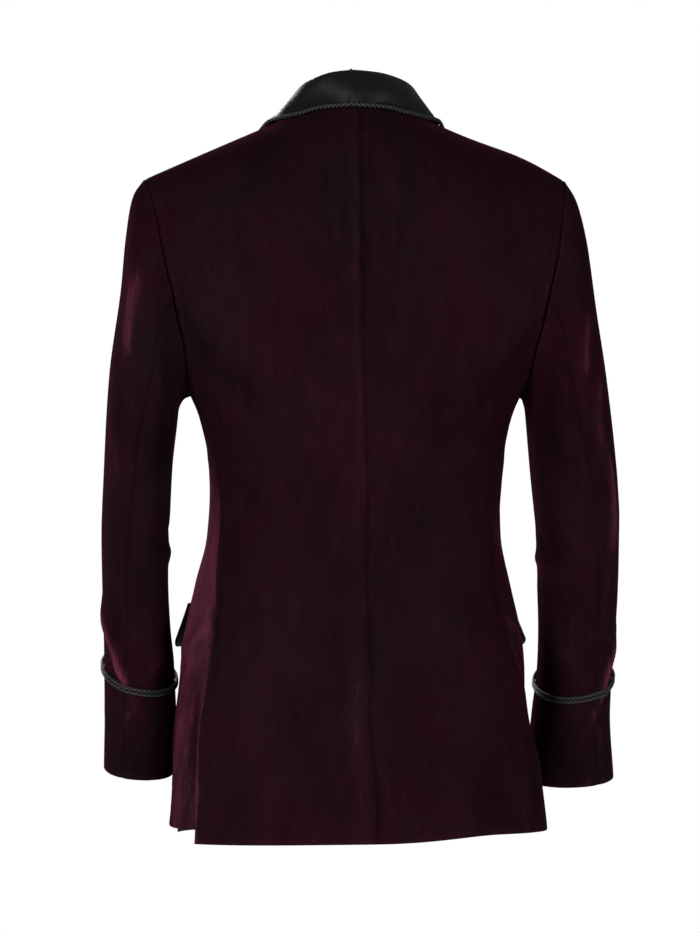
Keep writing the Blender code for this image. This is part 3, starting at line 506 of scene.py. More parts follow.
# Painted highlights along edges and seams, and painted shade on the centre seam: how much brighter or
# darker the pile is painted there, how far in from the edge or seam the line lies, how wide it is, and
# where it fades out.
VENT_HIGHLIGHT = {"shine": 0.8, "wide": 0.006, "below": -0.41, "fade": 0.05}
CENTRE_SHADE = {"shine": -0.35, "wide": 0.0009}
ARMHOLE_HIGHLIGHT = {"shine": 0.35, "in": 0.0055, "wide": 0.0035, "fade": 0.04}
BACK_HEM_HIGHLIGHT = {"shine": 0.30, "in": 0.003, "wide": 0.003}
SLEEVE_TOP_HIGHLIGHT = {"shine": 0.30, "in": 0.006, "wide": 0.004}
SLEEVE_HEM_HIGHLIGHT = {"shine": 0.35, "in": 0.003, "wide": 0.003}
# A painted highlight beside the centre seam: how bright on each side, in a line this wide. A painted sheen
# down the side bodies, stronger on the left, where the pile is brushed towards the light.
CENTRE_SHINE = {
    "z": (-0.740, -0.600, -0.530, -0.455, -0.380, -0.290, -0.125, -0.030),
    "left": (0.40, 0.55, 0.25, 0.05, 0.30, 0.42, 0.40, 0.08),
    "right": (0.25, 0.20, 0.10, 0.0, 0.0, 0.0, 0.0, 0.0),
    "wide": (0.0045, 0.0045, 0.0040, 0.0030, 0.0026, 0.0024, 0.0020, 0.0020),
}
SIDE_SHEEN = {
    "z": (-0.740, -0.660, -0.600, -0.540, -0.470, -0.400, -0.320, -0.262),
    "left": (0.38, 0.48, 0.82, 1.00, 1.20, 0.90, 0.35, 0.0),
    "right": (0.20, 0.25, 0.40, 0.50, 0.55, 0.40, 0.15, 0.0),
}


def outward(points):
    """Unit normals of a grid: the cross product of its differences down the rows and along the columns."""
    normals = np.cross(np.gradient(points, axis=0), np.gradient(points, axis=1))
    return normals / np.maximum(np.linalg.norm(normals, axis=-1, keepdims=True), 1e-12)


def fold_height(across, down, folds, unit_across, unit_down):
    """Height of all folds at a place: each is a bell over the distance to its line, fading out at both ends.

    The line bows to one side by a share of its length, and the fold is lowest at its ends.
    """
    height = np.zeros(np.broadcast_shapes(np.shape(across), np.shape(down)))
    for *ends, width, tall in folds:
        first, top, last, bottom = np.array(ends) * (unit_across, unit_down, unit_across, unit_down)
        over, fall = last - first, bottom - top
        length = math.hypot(over, fall)
        width, tall = width / 1000, tall / 1000
        along = ((across - first) * over + (down - top) * fall) / length**2
        bow = FOLD_BOW * length * np.sin(math.pi * np.clip(along, 0, 1)) * math.copysign(1, over * tall)
        off_line = ((across - first) * fall - (down - top) * over) / length + bow
        beyond = np.maximum(np.maximum(-along, along - 1), 0) * length
        ends_fade = FOLD_ENDS + (1 - FOLD_ENDS) * smooth(np.minimum(along, 1 - along) * 3)
        height = height + tall * ends_fade * beside(beyond, 0, 2 * width) * beside(off_line, 0, width)
    return height


def body_fold(angle, z, side):
    """How far the body's folds rise at an angle round it and a height."""
    return fold_height(angle * BODY_ROUND, z, BODY_FOLDS[side], math.radians(1) * BODY_ROUND, 1.0)


def level_out(angle):
    """The level direction out of the body at an angle round it."""
    return np.stack([np.sin(angle), np.cos(angle), 0 * angle], -1)


def row_levels(low_rows, high_rows, crowding):
    """Levels of a panel's rows, crowded to the hem and the shoulder, and how far up each upper row lies."""
    up = 1 - (1 - np.linspace(0, 1, high_rows + 1)[:, None]) ** 2
    low = np.linspace(0, 1, low_rows, endpoint=False)[:, None] ** crowding
    return np.concatenate([HEM_Z + (JOIN_Z - HEM_Z) * low, JOIN_Z + up * (TIP[1] - JOIN_Z)]), up


def pressed_and_lit(distance, line):
    """How bright a painted highlight line is at a distance from its edge or seam."""
    return line["shine"] * beside(distance, line["in"], line["wide"])


def dressed_body(angle, z, side, dips):
    """Body points with their folds and a shallow valley along each seam, and painted light by their height.
    """
    points = body_at(angle, z)
    lift = body_fold(angle, z, side) - SEAM_DEPTH * dips
    return points + outward(points) * lift[..., None], lift / BODY_CREST


def centre_seam(z, side):
    """The angle of a back panel's inner edge. The centre seam wanders a little to one side as it falls."""
    drift = read(CENTRE_SEAM, "x", z) * (1 if side == "left" else -1)
    return angle_at(drift, z)


def back_panel(side, low_rows=130, high_rows=80, columns=90):
    """Back: columns fan out by angle from the centre seam outwards, rows rise to the neck and shoulder."""
    tip_edge = float(back_edge(TIP[1]))
    tip_centre = float(centre_seam(TIP[1], side))
    neck_share = (float(angle_at(NECK_X, TIP[1])) - tip_centre) / (tip_edge - tip_centre)
    inner = round(columns * 0.45)
    near = neck_share * np.linspace(0, 1, inner, endpoint=False) ** 1.6
    far = 1 - (1 - neck_share) * (1 - np.linspace(0, 1, columns - inner + 1)) ** 1.4
    shares = np.r_[near, far]
    level, up = row_levels(low_rows, high_rows, 1.2)
    edge = back_edge(level + 1e-6) + seam_swing(level, side)
    centre = centre_seam(level, side)
    angle = centre + shares * (edge - centre)
    low = level - hem_fall(level, angle, side)
    top_x = body_at(tip_centre + shares * (tip_edge - tip_centre), TIP[1])[:, 0]
    tops = top_z(top_x) + NECK_TURNING * beside(top_x, NECK_TURNING_X, 0.020)
    high = JOIN_Z + up * (tops - JOIN_Z)
    z = np.concatenate([low[:low_rows], high])
    from_centre = (angle - centre) * BODY_ROUND
    from_edge = (edge - angle) * BODY_ROUND
    dips = beside(from_centre, 0, CENTRE_VALLEY) + beside(from_edge, 0, BACK_VALLEY) * (level > VENT_TOP)
    points, painted_light = dressed_body(angle, z, side, dips)
    points = points + level_out(angle) * vent_lift(angle, level, edge)[..., None]
    # Painted highlights at the vent, centre seam, armhole and hem, and painted shade on the centre seam.
    vent = VENT_HIGHLIGHT["shine"] * (1 - smooth(from_edge / VENT_HIGHLIGHT["wide"]))
    painted_light = painted_light + vent * smooth((VENT_HIGHLIGHT["below"] - level) / VENT_HIGHLIGHT["fade"])
    wide = read(CENTRE_SHINE, "wide", level)
    painted_light = painted_light + read(CENTRE_SHINE, side, level) * beside(from_centre, wide, wide)
    painted_light = painted_light + CENTRE_SHADE["shine"] * beside(from_centre, 0, CENTRE_SHADE["wide"])
    painted_light = painted_light + pressed_and_lit(from_edge, ARMHOLE_HIGHLIGHT) * smooth((level - JOIN_Z) / ARMHOLE_HIGHLIGHT["fade"])
    return points, painted_light + pressed_and_lit(level - HEM_Z, BACK_HEM_HIGHLIGHT)


def front_panel(side, low_rows=110, high_rows=72, columns=66):
    """Front: columns run by angle from the side seam to the roll line, lap or cutaway edge."""
    shares = np.linspace(0, 1, columns + 1)
    level, up = row_levels(low_rows, high_rows, 1.15)
    start = side_edge(level + 1e-6)
    tip_start = float(side_edge(TIP[1]))
    tip_end = math.pi - float(angle_at(NECK_X, TIP[1]))
    tops = ridge_z(body_at(tip_start + shares * (tip_end - tip_start), TIP[1])[:, 0])
    high = JOIN_Z + up * (tops - JOIN_Z)
    edge_z = np.concatenate([level[:low_rows], high[:, -1:]])
    end = math.pi - angle_at(front_edge(edge_z, side), edge_z)
    angle = start + shares * (end - start)
    low = level - hem_fall(level, angle, side)
    z = np.concatenate([low[:low_rows], high])
    # The fold heights become painted light: highlight on fold tops, shade in the side seam's valley.
    points, painted_light = dressed_body(angle, z, side, beside(angle, start, SIDE_VALLEY))
    points[..., 1] -= lap_lift(points[..., 0], points[..., 2], side)
    return points, painted_light


def side_panel(side, rows=120, columns=40):
    """Side body: columns run by angle between its two seams, and reach under the back along the vent."""
    shares = np.linspace(0, 1, columns + 1)
    level = np.linspace(HEM_Z, JOIN_Z, rows + 1)[:, None]
    start = back_edge(level) + seam_swing(level, side)
    end = side_edge(level)
    under = smooth((VENT_TOP + UNDERLAP_SET["above"] - level) / UNDERLAP_SET["reach"])
    angle = start + shares * (end - start)
    angle = angle - under * UNDERLAP / SIDE_ROUND * (1 - smooth(shares / UNDERLAP_SHARE))
    share_down = (JOIN_Z - level) / (JOIN_Z - HEM_Z)
    z = level - hem_fall(level, angle, side)
    z = z + SIDE_RISE * smooth((share_down - 1) / SIDE_RISE_SHARE + 1)
    z = z - ARMHOLE_DIP * np.sin(math.pi * shares) * smooth((level - DIP_FROM_Z) / (JOIN_Z - DIP_FROM_Z))
    seams = beside(angle, start, SIDE_VALLEY) * (level > VENT_TOP) + beside(angle, end, SIDE_VALLEY)
    points, painted_light = dressed_body(angle, z, side, seams)
    down = smooth((VENT_TOP - level) / UNDERLAP_SET["depth_reach"] + 1)
    fade = smooth(1 - (angle - start) / UNDERLAP_SET["angle_reach"])
    # A painted sheen down the side body, fading in over the first 4 mm from its back seam.
    nap_and_light = read(SIDE_SHEEN, side, z) * smooth((angle - start) * BODY_ROUND / 0.004)
    return points - level_out(angle) * (UNDERLAP_SET["depth"] * down * fade)[..., None], painted_light + nap_and_light


def armhole(turn):
    """A point of the armhole seam. The turn runs from the shoulder tip over the back to the underarm."""
    low = JOIN_Z - ARMHOLE_DIP
    z = (TIP[1] + low) / 2 + (TIP[1] - low) / 2 * np.cos(turn)
    face = np.where(np.sin(turn) >= 0, 1.0, -1.0)
    level = np.maximum(z, JOIN_Z)
    x = read(ARMHOLE, "x", level)
    high = body_on(x, level, face)
    dip = np.arcsin(np.clip((JOIN_Z - z) / ARMHOLE_DIP, 0, 1)) / math.pi
    share = np.where(face > 0, dip, 1 - dip)
    back = back_edge(JOIN_Z)
    angle = back + share * (side_edge(JOIN_Z) - back)
    under = body_at(angle, z)
    return np.where((z > JOIN_Z)[..., None], high, under)


def sleeve_at(t, turn, side):
    """A point of the sleeve's outer surface: t runs down from the armhole, turn goes round over the back.

    Each ring is squarer than an ellipse between the sleeve's outer and inner edge. The first ones fade into
    the armhole's own line.
    """
    t, turn = np.broadcast_arrays(np.asarray(t, float), np.asarray(turn, float))

    place = {column: read(SLEEVE, column, t) for column in SLEEVE}
    out = curve(SLEEVE["t"], SLEEVE_OUTER[side], t)
    into = curve(SLEEVE["t"], SLEEVE_INNER[side], t)
    drop = SLEEVE_EXTRA[side] * t
    outer = np.stack([place["outer_x"] + out, place["middle_y"], place["outer_z"] - drop], -1)
    inner = np.stack([place["inner_x"] + into, place["middle_y"], place["inner_z"] - drop], -1)
    middle = (outer + inner) / 2
    half = (outer - inner) / 2
    round_cos = np.sign(np.cos(turn)) * np.abs(np.cos(turn)) ** SLEEVE_ROUNDNESS
    round_sin = np.sign(np.sin(turn)) * np.abs(np.sin(turn)) ** SLEEVE_ROUNDNESS
    depth = np.zeros_like(middle)
    depth[..., 1] = place["half_y"]
    depth[..., 2] = -CUFF_SLOPE * place["half_y"] * smooth(2 * t - 1)
    points = middle + half * round_cos[..., None] + depth * round_sin[..., None]
    tip = np.array([TIP[0], 0, TIP[1]])
    underarm = np.array([SLEEVE["inner_x"][0], 0, SLEEVE["inner_z"][0]])
    start = (tip + underarm) / 2 + (tip - underarm) / 2 * round_cos[..., None]
    start = start + np.array([0, SLEEVE["half_y"][0], 0]) * round_sin[..., None]
    fade = (1 - smooth(t / ARMHOLE_FADE))[..., None]
    return points + (armhole(turn) - start) * fade + np.array([SLEEVE_SET, 0, 0]) * fade


def sleeve_lift(t, turn, side):
    """How far the sleeve's folds rise at a share of its length and a turn round it, from any of its laps."""
    units = (math.radians(1) * ARM_ROUND, -ARM_LENGTH)
    laps = [fold_height((turn + lap) * ARM_ROUND, -t * ARM_LENGTH, SLEEVE_FOLDS[side], *units)
            for lap in (-2 * math.pi, 0, 2 * math.pi)]
    return sum(laps) * smooth(t / 0.08)


def sleeve_panel(side, piece, rows=170, columns=56):
    """Top or under sleeve between the forearm seam and the hindarm seam, with its folds and seam valleys."""
    steps = np.linspace(0, 1, rows + 1)
    t = (0.5 * steps + 0.5 * steps**1.25)[:, None]
    hindarm = np.radians(HINDARM_SEAM[0] + (HINDARM_SEAM[1] - HINDARM_SEAM[0]) * smooth(t))
    forearm = math.radians(FOREARM_SEAM)
    if piece == "top":
        first, last = forearm - 2 * math.pi, hindarm
    else:
        first, last = hindarm, forearm
    shares = np.linspace(0, 1, columns + 1)[None, :]
    turn = first + shares * (last - first)
    points = sleeve_at(t, turn, side)
    dips = sum(beside(turn, seam, SLEEVE_VALLEY) for seam in (hindarm, forearm - 2 * math.pi, forearm))
    lift = sleeve_lift(t, turn, side) - SEAM_DEPTH * dips
    # Painted highlight on fold tops, shade in valleys, and highlight lines at the sleeve's top and cuff.
    painted_light = np.maximum(lift / SLEEVE_CREST, SLEEVE_DARKEST) + pressed_and_lit(t * ARM_LENGTH, SLEEVE_TOP_HIGHLIGHT)
    painted_light = painted_light + pressed_and_lit((1 - t) * ARM_LENGTH, SLEEVE_HEM_HIGHLIGHT)
    return points + outward(points) * lift[..., None], painted_light


def skin_normal(x, z, face):
    """The outward direction of the body's surface, close enough to lay the collar on it."""
    angle = angle_at(x, z)
    depth = np.where(face < 0, body("front", z), body("back", z)) + abs(RIDGE_Y)
    steep = np.minimum(depth / body("half", z) * np.abs(np.tan(angle)) ** (2 - ROUNDNESS), 6)
    rise = np.clip((z - ridge_z(x) + SHOULDER_ROLL) / SHOULDER_ROLL, 0, 1)
    fall = np.sqrt(np.maximum(1 - rise**2, 0))
    across = steep * fall * SHOULDER_ROLL + SHOULDER_DROP * depth * rise
    normal = np.stack([across, np.where(face < 0, -1, 1) * fall * SHOULDER_ROLL, depth * rise], -1)
    return normal / np.linalg.norm(normal, axis=-1, keepdims=True)


def on_skin(x, z, face, height, side):
    """A point at a height over the body's surface, or over the lap of the left front."""
    z = np.minimum(z, ridge_z(x) - 1e-5)
    point = body_on(x, z, face) + skin_normal(x, z, face) * np.reshape(height, (-1, 1))
    point[:, 1] -= np.where(face < 0, lap_lift(x, z, side), 0)
    return point


def collar_rows(rows):
    """Places of the collar's rows, closest together over the shoulder."""
    return curve(COLLAR_ROWS[0], COLLAR_ROWS[1], np.linspace(0, 1, rows + 1))


def collar_sway(x, side):
    """How far the collar has shifted to the wearer's left at the back of the neck, on each half's own x."""
    fade = np.maximum(1 - np.square(np.asarray(x) / SWAY_REACH), 0) ** 1.5
    return COLLAR_SWAY * fade * (1 if side == "left" else -1)


def collar_half(side, rows=150):
    """Half of the shawl collar: stand, roll and fall at the back, the turned lapel down the front.

    Each row is a section from seam to outer edge. The back's section stands up from the neck seam, and the
    lapel's turns over at the front's edge and lies on it. One blends into the other over the shoulder.
    """
    at = collar_rows(rows)
    place = {column: curve(np.arange(len(values)), values, at) for column, values in COLLAR.items()}
    rest = COLLAR_WALL + LAY + COLLAR_SET["rest"] + COLLAR_SET["shoulder_rest"] * beside(at, 5.0, 0.8)
    face = np.where(place["face"] < 0, -1.0, 1.0)
    front = smooth((at - 4) / 1.5)[:, None]
    neck_x = NECK_X * np.sin(np.clip(at / 4, 0, 1) * math.pi / 2)
    neck_x = neck_x + collar_sway(neck_x, side)
    roll_x = place["roll_x"] + ROLL_SWAY * collar_sway(place["roll_x"], side)
    roll_z = place["roll_z"] * (1 - RIGHT_RISE * tuck(place["roll_z"], side))
    roll_z = roll_z - COLLAR_SETTLE[side] * beside(at, 1.7, 0.9)
    edge_z = place["edge_z"] * (1 - RIGHT_RISE * tuck(place["edge_z"], side))
    roll = np.stack([roll_x, place["roll_y"], roll_z], -1)
    edge_x = place["edge_x"] + collar_sway(place["edge_x"], side) + RIGHT_TUCK * tuck(place["edge_z"], side)
    edge = on_skin(edge_x, edge_z, face, rest, side)
    neck = body_on(neck_x, nape(neck_x), np.ones_like(at))
    line_x = front_edge(roll_z, side)
    turned = on_skin(line_x, roll_z, -np.ones_like(at), COLLAR_SET["turn"], side)
    roll = roll * (1 - front) + turned * front
    roll += np.array([0.2, 0, 1]) * (COLLAR_SET["shoulder_rise"] * beside(at, 4.75, 0.5))[:, None]
    tangent = np.gradient(roll, axis=0)
    tangent /= np.linalg.norm(tangent, axis=1, keepdims=True)
    radial = roll * np.array([1, 1, 0])
    radial /= np.linalg.norm(radial, axis=1, keepdims=True)
    across = (edge - roll) / np.linalg.norm(edge - roll, axis=1, keepdims=True)
    out = radial * (1 - front) + across * front
    out -= tangent * (out * tangent).sum(1, keepdims=True)
    out /= np.linalg.norm(out, axis=1, keepdims=True)
    up = np.cross(tangent, out)
    panel_edge = on_skin(line_x, roll_z, -np.ones_like(at), 0.0, side)
    past = smooth((at - 4) / 0.6)[:, None]
    back_seam = neck + np.array([0, 0, COLLAR_SET["seam_up"]])
    front_seam = panel_edge - up * COLLAR_SET["seam_under"] - out * COLLAR_SET["seam_in"]
    seam = back_seam * (1 - past) + front_seam * past
    inside = roll - out * COLLAR_SET["inside_in"] - up * COLLAR_SET["inside_down"]
    outside = roll + out * COLLAR_SET["outside_out"] - up * COLLAR_SET["outside_down"]
    columns = [seam, (seam + inside) / 2, inside, roll, outside]
    lies = smooth((at - 4.4) / 1.4)[:, None]
    for share in (0.3, 0.6, 0.85):
        point = outside + share * (edge - outside)
        point = point + out * (COLLAR_SET["fall_bow"] * math.sin(math.pi * share) * (1 - front))
        first_x = line_x + COLLAR_SET["laid_from"]
        base_x = first_x + share * (edge_x - first_x)
        laid = on_skin(base_x, roll_z + share * (edge_z - roll_z), face, rest, side)
        columns.append(point * (1 - lies) + laid * lies)
    columns.append(edge)
    points = np.stack(columns, 1)
    points[0, :, 0] = collar_sway(0.0, side)
    return points


def eased(line, count):
    """A line of points, each replaced by the weighted mean of its neighbours, heaviest in the middle."""
    weights = np.hanning(count + 2)[1:-1]
    ends = ((count // 2, count // 2), (0, 0))
    longer = np.pad(line, ends, mode="reflect", reflect_type="odd")
    return np.stack([np.convolve(column, weights / weights.sum(), mode="valid") for column in longer.T], -1)


def collar_cord_line(side, rows=1500):
    """The cord's middle line, just beyond the collar's outer edge."""
    points = collar_half(side, rows)
    edge = points[:, -1]
    face = np.where(curve(np.arange(len(COLLAR["face"])), COLLAR["face"], collar_rows(rows)) < 0, -1.0, 1.0)
    skin = skin_normal(edge[:, 0], edge[:, 2], face)
    away = np.cross(np.gradient(edge, axis=0), skin)
    away *= np.sign((away * (edge - points[:, -3])).sum())
    away /= np.linalg.norm(away, axis=1, keepdims=True)
    line = eased(edge + away * (COLLAR_CORD["radius"] + COLLAR_CORD["off"]) + skin * COLLAR_CORD["up"], 31)
    line[0, 0] = collar_sway(0.0, side)
    return line[:-2], eased(skin, 61)[:-2]


def cuff_cord_line(side, t, points=800):
    """A closed line round the sleeve, lower at the back of the arm than at its sides, over the folds."""
    turn = np.linspace(0, 2 * math.pi, points, endpoint=False)
    along = t + CUFF_CORD_TILT * np.sin(turn)
    line = sleeve_at(along, turn, side)
    out = line - line.mean(0)
    out[:, 2] = 0
    out /= np.linalg.norm(out, axis=1, keepdims=True)
    lift = np.maximum(sleeve_lift(along, turn, side), -0.0006)
    return line + out * (CUFF_CORD["radius"] + CUFF_CORD["off"] + lift)[:, None], out


def flap(side, rows=14, columns=50):
    """A pocket flap on the front of the hip, standing off towards its lower edge, with rounded corners."""
    first = math.radians(FLAP["rear_angle"])
    shares = np.linspace(0, 1, columns + 1)
    down = np.linspace(1, 0, rows + 1)[:, None]
    angle = first + shares * FLAP["length"] / HIP_ROUND + 0 * down
    corner = 1 - 0.16 * np.abs(2 * shares - 1) ** 12
    z = FLAP["top_z"] - down * FLAP["height"] * corner
    off = FLAP["wall"] + FLAP["lift"] + FLAP_FLARE[side] * down**1.5 * (1 - 0.7 * shares)
    off = off + np.maximum(body_fold(angle, z, side), 0)
    return body_at(angle, z) + level_out(angle) * off[..., None]


def finer(grid, count):
    """Resamples a grid's rows by cubic pieces whose slopes are the mean differences of the rows beside."""
    slopes = np.gradient(grid, axis=0)
    at = np.linspace(0, len(grid) - 1, count + 1)
    cell = np.minimum(at.astype(int), len(grid) - 2)
    share = (at - cell)[:, None, None]
    ahead = share**2 * (3 - 2 * share)
    bend = slopes[cell] * share * (1 - share) ** 2 - slopes[cell + 1] * share**2 * (1 - share)
    return grid[cell] * (1 - ahead) + grid[cell + 1] * ahead + bend


def collar_surface(side, rows=150, columns=44):
    """Half of the collar, with soft rolls across the fall where the satin gives."""
    points = finer(collar_half(side, rows).transpose(1, 0, 2), columns).transpose(1, 0, 2)
    at = collar_rows(rows)[:, None]
    over = np.linspace(0, 1, columns + 1)
    fall = smooth((over - 0.42) / 0.2) * smooth((1 - over) / 0.12)
    waves = 0
    for station, slant, reach, height in COLLAR_WAVES:
        waves = waves + height * beside(at - slant * over, station, reach)
    points = points + outward(points) * (waves * fall)[..., None]
    points[0, :, 0] = collar_sway(0.0, side)
    return points


def mesh_object(name, points, faces, looks, uv=None):
    """A mesh from flat arrays of points and quads, shaded smooth, with materials and its UV in metres."""
    mesh = bpy.data.meshes.new(name)
    mesh.vertices.add(len(points))
    mesh.vertices.foreach_set("co", np.ascontiguousarray(points, dtype=np.float32).ravel())
    mesh.loops.add(faces.size)
    mesh.loops.foreach_set("vertex_index", faces.astype(np.int32).ravel())
    mesh.polygons.add(len(faces))
    mesh.polygons.foreach_set("loop_start", np.arange(len(faces), dtype=np.int32) * 4)
    mesh.update(calc_edges=True)
    mesh.validate()
    for look in looks:
        mesh.materials.append(look)
    if uv is not None:
        layer = mesh.uv_layers.new(name="metres")
        layer.data.foreach_set("uv", uv[faces.ravel()].astype(np.float32).ravel())
    mesh.shade_smooth()
    obj = bpy.data.objects.new(name, mesh)
    bpy.context.scene.collection.objects.link(obj)
    return obj


def marked(obj, name, values):
    """Writes one number per point on the object, for its material to read."""
    attribute = obj.data.attributes.new(name, "FLOAT", "POINT")
    attribute.data.foreach_set("value", np.ascontiguousarray(values, dtype=np.float32).ravel())


def close_ends(obj, sides):
    """Fills the open ends of a mesh, each a ring of this many sides, and turns its faces outward."""
    closing = bmesh.new()
    closing.from_mesh(obj.data)
    bmesh.ops.holes_fill(closing, edges=closing.edges, sides=sides)
    bmesh.ops.recalc_face_normals(closing, faces=closing.faces)
    closing.to_mesh(obj.data)
    closing.free()


def stand_in(obj, node):
    """Shows the piece in place of its solid."""
    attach(obj, "root")
    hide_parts(node)


def grid_faces(rows, columns, mirrored, closed_rows=False, closed_columns=False):
    """Quads of a grid of points that runs row by row, wound so that their normals point outward."""
    down = np.arange(rows if closed_rows else rows - 1)[:, None]
    over = np.arange(columns if closed_columns else columns - 1)[None, :]
    next_down = (down + 1) % rows
    next_over = (over + 1) % columns
    corners = [down * columns + over, next_down * columns + over, next_down * columns + next_over,
               down * columns + next_over]
    faces = np.stack([np.broadcast_to(corner, (len(down), over.shape[1])) for corner in corners], -1)
    faces = faces.reshape(-1, 4)
    return faces[:, ::-1] if mirrored else faces


def flat_sizes(points):
    """Width and length of the cloth in a grid, from its longest row and column, its area, and its UV."""
    over = np.linalg.norm(np.diff(points, axis=1), axis=-1)
    down = np.linalg.norm(np.diff(points, axis=0), axis=-1)
    corner = np.cross(np.diff(points, axis=0)[:, :-1], np.diff(points, axis=1)[:-1])
    area = float(np.linalg.norm(corner, axis=-1).sum())
    u = np.concatenate([np.zeros((len(points), 1)), over.cumsum(1)], 1)
    v = np.concatenate([np.zeros((1, points.shape[1])), down.cumsum(0)], 0)
    u = u - u.mean(1, keepdims=True)
    return float(over.sum(1).max()), float(down.sum(0).max()), area, np.stack([u, v], -1)


def cloth(name, points, wall, looks, mirrored, painted_light=None):
    """A piece of cloth in place of its CAD solid: the grid as a surface whose wall grows inwards."""
    rows, columns = points.shape[:2]
    width, length, area, uv = flat_sizes(points)
    places = points.reshape(-1, 3) * np.array([-1 if mirrored else 1, 1, 1])
    obj = mesh_object(name + "_cloth", places, grid_faces(rows, columns, mirrored), looks, uv.reshape(-1, 2))
    # The painted light, written on each point for the velvet to read.
    if painted_light is not None:
        marked(obj, "painted_light", painted_light)
    solid = obj.modifiers.new("wall", "SOLIDIFY")
    solid.thickness = wall
    solid.offset = -1
    solid.material_offset = 1
    rounded = obj.modifiers.new("turned edges", "BEVEL")
    rounded.width = 0.0006
    rounded.segments = 2
    rounded.limit_method = "ANGLE"
    rounded.angle_limit = math.radians(50)
    stand_in(obj, name)


def twisted_cord(name, line, facing, cord, closed, mirrored, look):
    """A tube along a line. Its section has a lobe for each strand, and the lobes turn as the line runs."""
    radius, sides = cord["radius"], cord["sides"]
    ahead = np.roll(line, -1, axis=0) - np.roll(line, 1, axis=0) if closed else np.gradient(line, axis=0)
    ahead = ahead / np.linalg.norm(ahead, axis=1, keepdims=True)
    up = facing - ahead * (facing * ahead).sum(1, keepdims=True)
    up = up / np.linalg.norm(up, axis=1, keepdims=True)
    across = np.cross(ahead, up)
    steps = np.linalg.norm(np.diff(line, axis=0), axis=1)
    run = np.r_[0, steps.cumsum()]
    length = run[-1] + (np.linalg.norm(line[0] - line[-1]) if closed else 0)
    turns = length / cord["pitch"]
    if closed:
        turns = round(turns * STRANDS) / STRANDS
    twist = 2 * math.pi * turns * run[:, None] / length
    round_it = np.linspace(0, 2 * math.pi, sides, endpoint=False)[None, :]
    strand = np.abs(np.cos(STRANDS / 2 * (round_it + twist)))
    size = radius * (0.68 + 0.32 * strand**0.7)
    points = line[:, None] + size[..., None] * (
        np.cos(round_it)[..., None] * up[:, None] + np.sin(round_it)[..., None] * across[:, None])
    points = points * np.array([-1 if mirrored else 1, 1, 1])
    uv = np.stack([round_it * radius + 0 * twist, run[:, None] + 0 * round_it], -1).reshape(-1, 2)
    faces = grid_faces(len(line), sides, not mirrored, closed_rows=closed, closed_columns=True)
    obj = mesh_object(name + "_twist", points.reshape(-1, 3), faces, [look], uv)
    # The strand's height, which the cord's material turns into a painted highlight.
    marked(obj, "strand", strand)
    if not closed:
        close_ends(obj, sides)
    stand_in(obj, name)


def covered_button(satin):
    """The button: its profile turned round, a flat back, a tucked rim and a low dome, on the left front."""
    reach = np.array(BUTTON_PROFILE["reach"])[:, None]
    height = np.array(BUTTON_PROFILE["height"])[:, None]
    turn = np.linspace(0, 2 * math.pi, BUTTON_SIDES, endpoint=False)
    pulled = 1 + GATHER_DEPTH * np.cos(BUTTON_GATHERS * turn) * smooth((reach - 0.7) / 0.3)
    reach = reach * BUTTON_RADIUS * pulled
    seat = on_skin(np.array([0.0]), np.array([BUTTON_Z]), np.array([-1.0]), LAY, "left")[0]
    points = np.stack([reach * np.cos(turn), -height + 0 * turn, reach * np.sin(turn)], -1) + seat
    faces = grid_faces(len(reach), BUTTON_SIDES, True, closed_columns=True)
    obj = mesh_object("button_cover", points.reshape(-1, 3), faces, [satin])
    close_ends(obj, BUTTON_SIDES)
    stand_in(obj, "button")


def new_look(name, colour, roughness, finish=()):
    """A material, its tree and its shader, which the finish gives more numbers."""
    look = bpy.data.materials.new(name)
    look.use_nodes = True
    shader = look.node_tree.nodes["Principled BSDF"]
    shader.inputs["Base Color"].default_value = (*colour, 1)
    shader.inputs["Roughness"].default_value = roughness
    for socket, number in dict(finish).items():
        shader.inputs[socket].default_value = number
    return look, look.node_tree, shader


def pattern(tree, source, stretch, scale, detail, roughness=0.5):
    """Noise on object coordinates or on the piece's own UV, stretched per axis; gives its value socket."""
    place = tree.nodes.new("ShaderNodeTexCoord")
    stretched = tree.nodes.new("ShaderNodeMapping")
    stretched.inputs["Scale"].default_value = stretch
    noise = tree.nodes.new("ShaderNodeTexNoise")
    noise.inputs["Scale"].default_value = scale
    noise.inputs["Detail"].default_value = detail
    noise.inputs["Roughness"].default_value = roughness
    tree.links.new(place.outputs[source], stretched.inputs["Vector"])
    tree.links.new(stretched.outputs["Vector"], noise.inputs["Vector"])
    return noise.outputs["Fac"]


def ranged(tree, value, low, high, to_low, to_high):
    """A value brought from one range to another, and held inside it."""
    spread = tree.nodes.new("ShaderNodeMapRange")
    for socket, number in zip(("From Min", "From Max", "To Min", "To Max"), (low, high, to_low, to_high)):
        spread.inputs[socket].default_value = number
    tree.links.new(value, spread.inputs["Value"])
    return spread.outputs["Result"]


def combined(tree, operation, first, second):
    """Two values joined by a product, or by a sum that stays between 0 and 1."""
    node = tree.nodes.new("ShaderNodeMath")
    node.operation = operation
    node.use_clamp = operation == "ADD"
    for socket, value in zip(node.inputs, (first, second)):
        tree.links.new(value, socket)
    return node.outputs["Value"]


def tinted(tree, share, colours, places):
    """A colour ramp over a share, with each colour at its place."""
    ramp = tree.nodes.new("ShaderNodeValToRGB")
    elements = ramp.color_ramp.elements
    for place in places[2:]:
        elements.new(place)
    for element, colour, place in zip(elements, colours, places):
        element.position = place
        element.color = (*colour, 1)
    tree.links.new(share, ramp.inputs["Fac"])
    return ramp.outputs["Color"]


def mixed(tree, share, first, second):
    """One colour turning into another as the share rises."""
    mix = tree.nodes.new("ShaderNodeMix")
    mix.data_type = "RGBA"
    tree.links.new(share, mix.inputs["Factor"])
    tree.links.new(first, mix.inputs[6])
    tree.links.new(second, mix.inputs[7])
    return mix.outputs[2]


